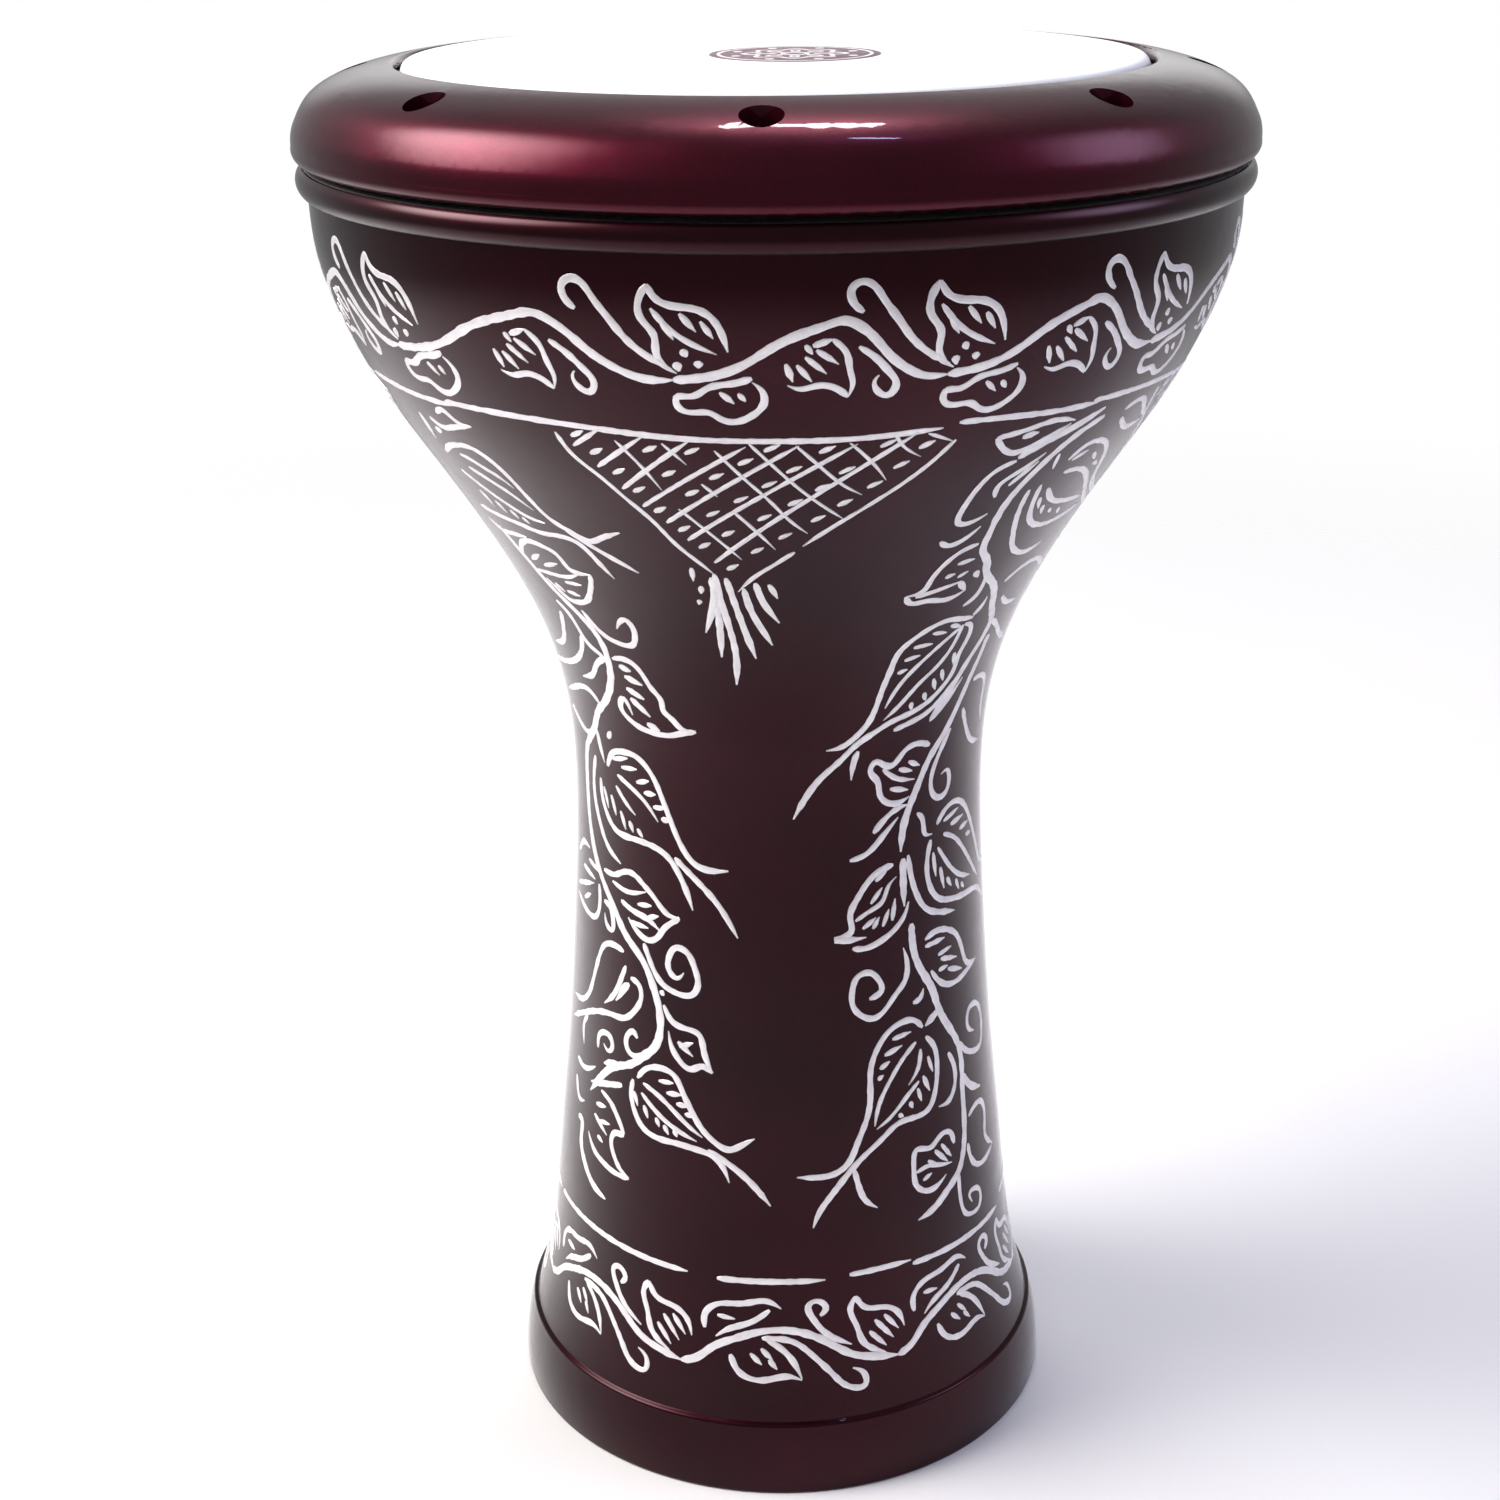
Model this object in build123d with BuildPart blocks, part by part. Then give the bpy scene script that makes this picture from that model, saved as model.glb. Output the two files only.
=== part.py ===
# Goblet drum (darbuka): cast aluminium goblet, covered tuning rim, clamped plastic head and
# socket-cap tension bolts.  Millimetres, +Z up, origin at the centre of the base, on the floor.
from build123d import *
import math
import os

os.makedirs("parts", exist_ok=True)

# ---- Driving dimensions ----------------------------------------------------------------
rim_height = 438.7          # floor to the crest of the tuning rim, just under the playing surface
rim_radius = 140.7          # widest radius of the tuning rim
opening_radius = 110.0      # playing surface inside the rim
flange_top = 411.3          # shelf at the top of the goblet
bead_radius = 140.1         # rolled bead round that shelf
bead_bottom = 403.5         # the bowl's wall ends here, under the bead
base_radius = 89.7          # base ring
waist_radius = 65.3
waist_height = 215.0
wall = 5.0                  # casting thickness, measured radially

neck_radius = 107.6         # outside of the neck that carries the bearing edge
neck_bore = 103.2
neck_chamfer = 1.4
bearing_edge = 438.6        # height of the rounded edge that the head lies on
edge_round = 2.2

bolt_count = 8
bolt_circle = 125.3
thread_radius = 2.95        # M6, crest radius with running clearance in the lug
tapped_radius = 3.03
clearance_radius = 3.3
bolt_length = 25.0
cap_radius = 5.0
cap_height = 6.0
cap_chamfer = 0.6
tip_chamfer = 0.8
socket_flats = 5.0
socket_depth = 3.0
counterbore_radius = 5.7
bolt_seat = 424.0           # floor of the counterbores in the rim
boss_radius = 8.2
boss_bottom = 418.5
washer_radius = 5.5
washer_bore = 3.2
washer_thickness = 1.6
lug_radius = 8.0
lug_bottom = 391.0

film = 0.3                  # thickness of the plastic head
head_gap = 0.4              # head kept just clear of the bearing edge
hoop_inner = 111.2
hoop_outer = 116.8
hoop_wall = 1.2
hoop_bottom = 425.0
hoop_top = 432.7            # the rim presses on the hoop at this height
badge_radius = 25.0
badge_centre = (6.0, -4.0)
badge_thickness = 0.15

groove_depth = 0.4          # the two turned border lines on the goblet
groove_width = 1.6
border_grooves = [(124.0, 356.5, 30), (77.0, 72.0, -4)]  # radius, height, tilt of the wall there

# ---- Goblet ----------------------------------------------------------------------------
# Outer wall from the base ring up through the waist to the bowl, as (radius, height).
outer_wall = [
    (85.3, 24.4),
    (80.2, 43.0),
    (75.6, 79.0),
    (70.7, 126.0),
    (67.2, 172.0),
    (waist_radius, waist_height),
    (66.9, 243.0),
    (74.1, 271.0),
    (88.2, 299.5),
    (105.0, 326.0),
    (120.6, 350.3),
    (131.2, 373.0),
    (135.6, 388.0),
    (136.8, bead_bottom),
]
# The inside of the casting follows the outside, one wall thickness in.
inner_wall = [(radius - wall, height) for radius, height in outer_wall[1:-1]]
ring_bore = base_radius - 6.5
ring_bore_top = 10.0
ring_edge = 0.8             # rounded lower edge of the base ring
ring_step = (86.7, 23.4)    # top edge of the base ring, above it a small ledge
edge_centre = (neck_radius - edge_round, bearing_edge - edge_round)
quarter_middle = math.sqrt(0.5)
edge_middle = edge_round * quarter_middle
shelf_bottom = flange_top - wall
shelf_chamfer = 3.0
bead_foot = bead_radius - 1.9
bead_head = bead_radius - 1.7
shelf_corner = (inner_wall[-1][0] + 0.7, 400.0)  # where the inside of the bowl meets the shelf

with BuildPart() as goblet_shell:
    with BuildSketch(Plane.XZ):
        with BuildLine():
            Line((ring_bore, 0), (base_radius - ring_edge, 0))
            ThreePointArc((base_radius - ring_edge, 0), (base_radius - 0.2, 0.3), (base_radius, 1.0))
            ThreePointArc((base_radius, 1.0), (base_radius - 0.6, 12.5), ring_step)
            Polyline(ring_step, (ring_step[0], outer_wall[0][1]), outer_wall[0])
            Spline(*outer_wall)
            Line(outer_wall[-1], (bead_foot, bead_bottom))
            ThreePointArc((bead_foot, bead_bottom), (bead_radius, 407.5), (bead_head, flange_top))
            Polyline(
                (bead_head, flange_top),
                (neck_radius, flange_top),
                (neck_radius, edge_centre[1]),
            )
            ThreePointArc(
                (neck_radius, edge_centre[1]),
                (edge_centre[0] + edge_middle, edge_centre[1] + edge_middle),
                (edge_centre[0], bearing_edge),
            )
            Polyline(
                (edge_centre[0], bearing_edge),
                (neck_bore + neck_chamfer, bearing_edge),
                (neck_bore, bearing_edge - neck_chamfer),
                (neck_bore, shelf_bottom + shelf_chamfer),
                (neck_bore + shelf_chamfer, shelf_bottom),
                (inner_wall[-1][0] - 4.5, shelf_bottom),
                shelf_corner,
            )
            Spline(shelf_corner, *reversed(inner_wall), (ring_bore, ring_bore_top))
            Line((ring_bore, ring_bore_top), (ring_bore, 0))
        make_face()
    revolve(axis=Axis.Z)
    # Tapped lugs under the shelf, one below each bolt
    with BuildSketch(Plane.XY.offset(lug_bottom)):
        with PolarLocations(bolt_circle, bolt_count):
            Circle(lug_radius)
    extrude(amount=flange_top - lug_bottom - 1)
    with Locations(Plane.XY.offset(flange_top)):
        with PolarLocations(bolt_circle, bolt_count):
            Hole(radius=tapped_radius, depth=flange_top - lug_bottom + 1)
    # Turned border lines above and below the garlands
    with BuildSketch(Plane.XZ):
        for radius, height, tilt in border_grooves:
            with Locations((radius, height)):
                Rectangle(2 * groove_depth, groove_width, rotation=tilt)
    revolve(axis=Axis.Z, mode=Mode.SUBTRACT)
goblet_shell.part.label = "goblet_shell"
export_step(goblet_shell.part, "parts/goblet_shell.step")

# ---- Tuning rim ------------------------------------------------------------------------
rim_bottom = 412.9
rim_foot = (138.2, rim_bottom)           # lower outer corner of the rolled rim
rim_lip = (opening_radius, rim_height - 1.5)  # small rounded lip at the opening
rim_crest = (opening_radius + 1.6, rim_height)
lip_bottom = (opening_radius, 436.5)
cavity_radius = 136.6
press_foot = hoop_outer + 1.4
inner_foot = hoop_inner + 2.2

# Space under the rim's skin: everything but the bosses that the bolts pass through.
with BuildPart() as rim_cavity:
    with BuildSketch(Plane.XZ):
        with BuildLine():
            Polyline(
                (press_foot, hoop_top),
                (press_foot, rim_bottom - 1),
                (cavity_radius, rim_bottom - 1),
                (cavity_radius, 416.0),
            )
            Spline((cavity_radius, 416.0), (134.0, 425.0), (128.0, 430.0), (press_foot, hoop_top))
        make_face()
    revolve(axis=Axis.Z)
    with BuildSketch(Plane.XY.offset(boss_bottom)):
        with PolarLocations(bolt_circle, bolt_count):
            Circle(boss_radius)
    extrude(amount=hoop_top - boss_bottom, mode=Mode.SUBTRACT)

with BuildPart() as tuning_rim:
    with BuildSketch(Plane.XZ):
        with BuildLine():
            Line(lip_bottom, rim_lip)
            ThreePointArc(rim_lip, (opening_radius + 0.5, rim_height - 0.45), rim_crest)
            Spline(
                rim_crest,
                (118.4, 437.6),
                (125.3, 435.75),
                (131.4, 433.1),
                (136.1, 429.3),
                (139.3, 423.8),
                (rim_radius, 417.0),
                tangents=((1, -0.1), (0, -1)),
            )
            ThreePointArc((rim_radius, 417.0), (139.9, 413.9), rim_foot)
            Polyline(
                rim_foot,
                (inner_foot, rim_bottom),
                (inner_foot, hoop_top),
                lip_bottom,
            )
        make_face()
    revolve(axis=Axis.Z)
    add(rim_cavity.part, mode=Mode.SUBTRACT)
    # Room for the hoop below the face that presses on it
    with BuildSketch(Plane.XY.offset(rim_bottom - 1)):
        Circle(press_foot)
    extrude(amount=hoop_top - rim_bottom + 1, mode=Mode.SUBTRACT)
    with Locations(Plane.XY.offset(rim_height)):
        with PolarLocations(bolt_circle, bolt_count):
            CounterBoreHole(
                radius=clearance_radius,
                counter_bore_radius=counterbore_radius,
                counter_bore_depth=rim_height - bolt_seat,
                depth=rim_height - boss_bottom + 1,
            )
tuning_rim.part.label = "tuning_rim"
export_step(tuning_rim.part, "parts/tuning_rim.step")

# ---- Head: film, hoop, resin and badge ---------------------------------------------------
skirt = 113.7               # radius at which the film goes down into the hoop
skirt_top = 431.8
skirt_bottom = 427.5
film_under = bearing_edge + head_gap
film_top = film_under + film
outer_round = edge_round + head_gap + film
inner_round = edge_round + head_gap


def quarter(radius):
    """Start, middle and end of the film's quarter turn over the bearing edge."""
    x, z = edge_centre
    middle = quarter_middle * radius
    return (x, z + radius), (x + middle, z + middle), (x + radius, z)


with BuildPart() as head_film:
    with BuildSketch(Plane.XZ):
        with BuildLine():
            inner_turn = quarter(inner_round)
            outer_turn = quarter(outer_round)
            Line((0, film_under), inner_turn[0])
            ThreePointArc(*inner_turn)
            Polyline(
                inner_turn[2],
                (skirt - film, skirt_top),
                (skirt - film, skirt_bottom),
                (skirt, skirt_bottom),
                (skirt, skirt_top + film / 2),
                outer_turn[2],
            )
            ThreePointArc(*reversed(outer_turn))
            Polyline(outer_turn[0], (0, film_top), (0, film_under))
        make_face()
    revolve(axis=Axis.Z)
head_film.part.label = "head_film"
export_step(head_film.part, "parts/head_film.step")

hoop_inner_top = hoop_top - 1.3
with BuildPart() as head_hoop:
    with BuildSketch(Plane.XZ):
        with BuildLine():
            Polyline(
                (hoop_inner, hoop_bottom),
                (hoop_outer, hoop_bottom),
                (hoop_outer, hoop_top),
                (hoop_outer - hoop_wall, hoop_top),
                (hoop_outer - hoop_wall, hoop_bottom + hoop_wall),
                (hoop_inner + hoop_wall, hoop_bottom + hoop_wall),
                (hoop_inner + hoop_wall, hoop_inner_top),
                (hoop_inner, hoop_inner_top),
                close=True,
            )
        make_face()
    revolve(axis=Axis.Z)
head_hoop.part.label = "head_hoop"
export_step(head_hoop.part, "parts/head_hoop.step")

resin_top = hoop_top - 1.5
with BuildPart() as hoop_resin:
    with BuildSketch(Plane.XZ):
        with BuildLine():
            Polyline(
                (hoop_inner + hoop_wall, hoop_bottom + hoop_wall),
                (hoop_outer - hoop_wall, hoop_bottom + hoop_wall),
                (hoop_outer - hoop_wall, resin_top),
                (skirt, resin_top),
                (skirt, skirt_bottom),
                (skirt - film, skirt_bottom),
                (skirt - film, resin_top),
                (hoop_inner + hoop_wall, resin_top),
                close=True,
            )
        make_face()
    revolve(axis=Axis.Z)
hoop_resin.part.label = "hoop_resin"
export_step(hoop_resin.part, "parts/hoop_resin.step")

with BuildPart() as head_badge:
    with BuildSketch(Plane.XY.offset(film_top)):
        with Locations(badge_centre):
            Circle(badge_radius)
    extrude(amount=badge_thickness)
head_badge.part.label = "head_badge"
export_step(head_badge.part, "parts/head_badge.step")

# ---- Tension bolts and their washers -----------------------------------------------------
bolt_places = PolarLocations(bolt_circle, bolt_count).locations
washer_top = bolt_seat + washer_thickness

for number, place in enumerate(bolt_places, start=1):
    bolt_x, bolt_y = place.position.X, place.position.Y

    with BuildPart() as bolt_washer:
        with BuildSketch(Plane((bolt_x, bolt_y, bolt_seat))):
            Circle(washer_radius)
            Circle(washer_bore, mode=Mode.SUBTRACT)
        extrude(amount=washer_thickness)
    bolt_washer.part.label = f"bolt_washer_{number}"
    export_step(bolt_washer.part, f"parts/bolt_washer_{number}.step")

    with BuildPart() as tension_bolt:
        with BuildSketch(Plane((bolt_x, bolt_y, washer_top))):
            Circle(cap_radius)
        extrude(amount=cap_height)
        chamfer(tension_bolt.edges().filter_by(GeomType.CIRCLE).sort_by(Axis.Z)[-1], cap_chamfer)
        with BuildSketch(Plane((bolt_x, bolt_y, washer_top))):
            Circle(thread_radius)
        extrude(amount=-bolt_length)
        chamfer(tension_bolt.edges().filter_by(GeomType.CIRCLE).sort_by(Axis.Z)[0], tip_chamfer)
        with BuildSketch(Plane((bolt_x, bolt_y, washer_top + cap_height))):
            RegularPolygon(socket_flats / 2, 6, major_radius=False)
        extrude(amount=-socket_depth, mode=Mode.SUBTRACT)
    tension_bolt.part.label = f"tension_bolt_{number}"
    export_step(tension_bolt.part, f"parts/tension_bolt_{number}.step")
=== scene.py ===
import math
import random

import bpy
import numpy as np
from mathutils import Matrix, Vector


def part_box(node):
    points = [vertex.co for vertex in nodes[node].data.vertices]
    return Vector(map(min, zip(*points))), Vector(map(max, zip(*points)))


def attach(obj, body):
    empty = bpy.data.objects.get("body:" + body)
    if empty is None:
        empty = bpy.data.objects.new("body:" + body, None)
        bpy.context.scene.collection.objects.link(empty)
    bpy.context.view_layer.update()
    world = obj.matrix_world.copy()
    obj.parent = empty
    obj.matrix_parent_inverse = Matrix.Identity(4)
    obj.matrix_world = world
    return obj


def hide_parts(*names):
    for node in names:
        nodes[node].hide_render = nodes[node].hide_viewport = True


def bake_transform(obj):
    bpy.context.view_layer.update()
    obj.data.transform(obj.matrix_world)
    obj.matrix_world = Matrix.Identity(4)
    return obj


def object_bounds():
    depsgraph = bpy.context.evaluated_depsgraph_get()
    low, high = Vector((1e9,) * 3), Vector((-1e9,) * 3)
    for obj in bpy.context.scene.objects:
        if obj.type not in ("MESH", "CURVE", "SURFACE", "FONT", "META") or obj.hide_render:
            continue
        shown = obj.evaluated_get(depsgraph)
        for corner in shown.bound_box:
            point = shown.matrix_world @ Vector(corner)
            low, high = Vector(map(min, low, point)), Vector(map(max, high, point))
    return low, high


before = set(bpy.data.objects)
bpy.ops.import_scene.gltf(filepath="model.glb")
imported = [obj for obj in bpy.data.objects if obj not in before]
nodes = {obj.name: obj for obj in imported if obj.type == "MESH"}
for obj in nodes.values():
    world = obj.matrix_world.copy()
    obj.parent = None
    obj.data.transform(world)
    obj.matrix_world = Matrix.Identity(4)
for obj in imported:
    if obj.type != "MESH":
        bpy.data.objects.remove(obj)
cad_box = [list(corner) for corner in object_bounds()]

MM = 0.001
LATHE_SEGMENTS = 288

# ---- Sizes of the drum, in millimetres ----------------------------------------------------
# Outer wall of the goblet from the base ring to the bowl, as (radius, height).
OUTER_WALL = [
    (85.3, 24.4), (80.2, 43), (75.6, 79), (70.7, 126), (67.2, 172), (65.3, 215), (66.9, 243),
    (74.1, 271), (88.2, 299.5), (105, 326), (120.6, 350.3), (131.2, 373), (135.6, 388), (136.8, 403.5),
]
WALL = 5.0
BASE_RADIUS = 89.7
RING_BORE = 83.2
NECK_RADIUS = 107.6
NECK_BORE = 103.2
EDGE_ROUND = 2.2        # of the bearing edge that the film lies on
RIM_GAP = 1.6           # between the flange and the rim's lower edge
BOLT_CIRCLE = 125.3
BOLT_COUNT = 8
LUG_RADIUS = 8.0
LUG_BOTTOM = 391.0
TAPPED_RADIUS = 3.03
FILM = 0.3
FILM_GAP = 0.4          # between the film and the bearing edge
SKIRT_FOLD = 431.95     # height where the film's skirt turns down into the hoop

# ---- Engraved decoration ------------------------------------------------------------------
# A stroke is given by its width in mm and a row of numbers: azimuth in degrees and height in mm,
# point after point along the wall. Azimuth 0 is the front, -Y, and grows towards +X.
VINE = 2.5
STEM = 2.7
OUTLINE = 2.0
RIB = 1.6
HATCH = 1.7
BLOB = 2.3
MESH = 1.45
FINE = 1.05
TASSEL = 2.0


def cuts(width, *rows):
    """Strokes of one width, as pairs of the width and the points."""
    return [(width, list(zip(row[::2], row[1::2]))) for row in rows]


# One wave of the upper vine, placed from its trough, and the leaf and curl placed from its crest.
UPPER_AT_TROUGH = [
    *cuts(VINE, (0, 371, 4.7, 372.6, 8, 375.8, 11.3, 380.8, 13.8, 383.6, 16.8, 386.1, 18.4, 387,
         20.1, 385.4, 21.8, 381.9, 23.4, 377.6, 25.5, 373.6, 28, 371, 30.5, 371)),
    # hook tendril; big leaf, left side; right side
    *cuts(OUTLINE, (-10.3, 389, -11.4, 391.5, -11.6, 395.1, -10.5, 396.7, -9.5, 396, -8.2, 392.2,
         -6.6, 387.2, -4.9, 381.9, -2.8, 377.6, 0, 374),
        (-2.1, 396, -3, 392.2, -3, 387.9, -1.6, 382.9, -1.6, 379, -1.2, 375.8, 0.5, 372.9),
        (-2.1, 396, -1.2, 392.6, 0.5, 390.8, 3, 390.1, 4.7, 387.9, 5.7, 384, 6.3, 379)),
    *cuts(RIB, (-1.8, 390, 0.5, 384, 2.6, 380.8, 5.1, 378.3)),
    *cuts(HATCH, (1.3, 388.9, 3, 384.2), (3.5, 387, 4.8, 382.5), (-0.8, 387, 0.5, 382)),
    *cuts(BLOB, (1.3, 379.5, 1.8, 377.5), (3, 376.5, 3, 374.5), (0.5, 376, 0.8, 373.5)),
    # small lobed leaf
    *cuts(OUTLINE, (8.8, 371.9, 6.7, 370.4, 3.8, 369, 1.7, 366.5, 0.1, 366.1, 0.1, 363.6, 1.7, 361.9,
         3.8, 361.9, 5.1, 360.1, 6.3, 359.4, 8.8, 361.5, 10.1, 365.1, 9.9, 368.3, 8.8, 370.8)),
    # inner
    *cuts(HATCH, (5.1, 367.9, 6.7, 364.7), (7.2, 367.6, 8, 365.4)),
]

UPPER_AT_CREST = [
    # hatched leaf: right side
    *cuts(HATCH, (-1.2, 382.2, 0.4, 378.3, 0.9, 373.6, 1.3, 370, 0.9, 366.3)),
    # lower side
    *cuts(OUTLINE, (0.9, 366.3, -0.4, 368.6, -2.5, 369.7, -4.6, 368.8, -6, 369.9)),
    *cuts(HATCH, (-6.2, 375.8, -5.4, 370.8), (-5, 375.4, -3.3, 370.8), (-4.1, 377.6, -1.7, 372.9),
        (-4.1, 380.8, -3.3, 378.3), (-2.9, 379.4, -0.4, 375.4)),
    # upper side; curl
    *cuts(OUTLINE, (-3.3, 380.5, -1.2, 382.2),
        (1.7, 380, 3.8, 376.5, 5.4, 372.6, 6.3, 369, 5.6, 366.3, 4.2, 367.6, 3.8, 370.8, 4.2, 372)),
]

# The same for the lower vine, placed from its crest and from its trough.
LOWER_AT_CREST = [
    *cuts(VINE, (-23.6, 40.3, -20, 42.1, -16.3, 46.5, -10.9, 50.5, -5.4, 53.3, 0, 54.2, 6.4, 52.4,
         11.8, 48.3, 16.4, 44.2, 21.8, 41.9, 27.8, 40.3)),
    # leaf above
    *cuts(OUTLINE, (-18.2, 52.8, -18.2, 57.8, -15.4, 61.5, -9.1, 62.8, -3.2, 64, 0, 61.5),
        (-2.7, 61, -7.2, 56.5, -12.7, 53.3, -15.4, 50.5)),
    *cuts(HATCH, (-15.2, 57.8, -10.9, 57.2)),
    # leaf below
    *cuts(OUTLINE, (-11.8, 45.1, -10, 40.1, -4.5, 37.4, 1.8, 38.7, 4.6, 37.4),
        (-3.6, 51, 0, 47.8, 2.8, 43.3, 4.6, 37.8)),
    *cuts(HATCH, (-7.2, 46, -4.5, 42.4), (-4.7, 47.8, -2, 44), (-2.9, 44.2, -1, 41)),
    # curl
    *cuts(OUTLINE, (-4.5, 51.2, 2.8, 50.1, 7.3, 45.1, 11.8, 38.3, 15.5, 33.7, 19.1, 33.7, 19.1, 36.9,
         16.4, 39.6)),
]

LOWER_AT_TROUGH = [
    # hook tendril; leaf, left side; right side
    *cuts(OUTLINE, (-17.3, 58.5, -15.9, 61, -18.2, 63.7, -20, 62.4, -19.1, 57.8, -16.4, 52.8, -10, 47.4),
        (-8.6, 63.5, -10, 59.6, -8.6, 53.3, -7.3, 47.8, -1.8, 42.4),
        (-8.6, 63.5, -6.4, 59.2, -0.9, 57.4, 2.3, 54.2, 3.6, 49.2)),
    *cuts(HATCH, (-4, 54, 0.5, 46.5), (-5.5, 50.5, -1.5, 44.5), (-1.5, 55, 2, 49)),
]

# The hanging net with its tassel, and the short dashes in its cells.
NET = [
    # left edge; right edge; strokes up to the right
    *cuts(MESH, (-27, 353, -25.8, 346.7, -23.1, 340.7, -20, 333.3, -16.9, 326, -14.6, 319.3, -11.9, 314,
         -9.2, 309.3), (24.2, 351.3, 21.9, 345.3, 18.1, 338, 14.2, 332, 10, 326, 5.4, 319.3),
        (4.2, 317.3, 0.8, 312.7, -2.3, 308.7, -5.4, 303.3), (-25, 349.3, -20, 356),
        (-22.5, 343.3, -14.8, 354.3), (-20, 336.7, -9, 353.7), (-17.8, 331.3, -2.3, 352),
        (-14.9, 326.3, 4.2, 352.3), (-12.3, 320.7, 11.4, 352.3), (-8.7, 313.3, 18.9, 354.7)),
    # thinner strokes across them
    *cuts(FINE, (-18.8, 352.3, -16.2, 344.7, -14.2, 337.3), (-12.7, 352.3, -10, 346),
        (-12.5, 331.3, -9.4, 325, -4.2, 314.7), (-8.5, 340, -6.6, 336),
        (-6.2, 350.7, -2.3, 341, 0.4, 335, 3.4, 328, 6, 323.7), (-4.6, 331, -0.8, 322.7, 1.2, 318.3),
        (-1.9, 353, 1.2, 345.7, 3.8, 340, 7.3, 333.7, 11.2, 328),
        (3.8, 352.3, 7.3, 345, 10.8, 338.7, 13.1, 336), (10.4, 352.7, 14.6, 344, 16, 340.3),
        (15.8, 355, 17.3, 350.7, 20, 347), (20.2, 354, 24, 350.8)),
    *cuts(TASSEL, (-9.6, 306, -10.6, 297, -12.9, 288), (-9.8, 308, -9.8, 292, -10.4, 279.5),
        (-9.2, 309.3, -8.5, 296, -7.3, 280, -7.8, 270), (-7.3, 308, -5.8, 295, -4.2, 285, -3.1, 279.5),
        (-4.4, 304.5, -3.5, 297, -1.6, 290, 0.4, 284.3), (-2.3, 306.5, -1.2, 300, 1.8, 292.3)),
    # dashes beside the tassel
    *cuts(HATCH, (-12.9, 311, -13.1, 306.3), (-11.9, 304.7, -12.2, 302), (-12.7, 299.7, -13.1, 298),
        (0, 306, 1.5, 301)),
]

NET_CELLS = [
    (-23.8, 353.3), (-21.9, 348.3), (-19.6, 342.5), (-17.5, 337), (-15.3, 330.7), (-12.4, 324.7),
    (-9.8, 319.2), (-5.8, 312), (-14.4, 350.4), (-12.6, 343), (-10, 337), (-7.6, 330.3), (-5.8, 323.7),
    (-1.6, 318), (-9, 350.4), (-6.3, 342.7), (-3.4, 335.3), (-0.3, 329.3), (2.7, 323), (-2.4, 347.5),
    (0.5, 340.3), (4, 334.3), (7.4, 328.7), (0.9, 351.7), (3.7, 345), (7.6, 339), (10.9, 333.7),
    (7.7, 351), (10.5, 344.3), (14.6, 339.2), (15.3, 352), (17.6, 345), (20.4, 350.7),
]

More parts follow.
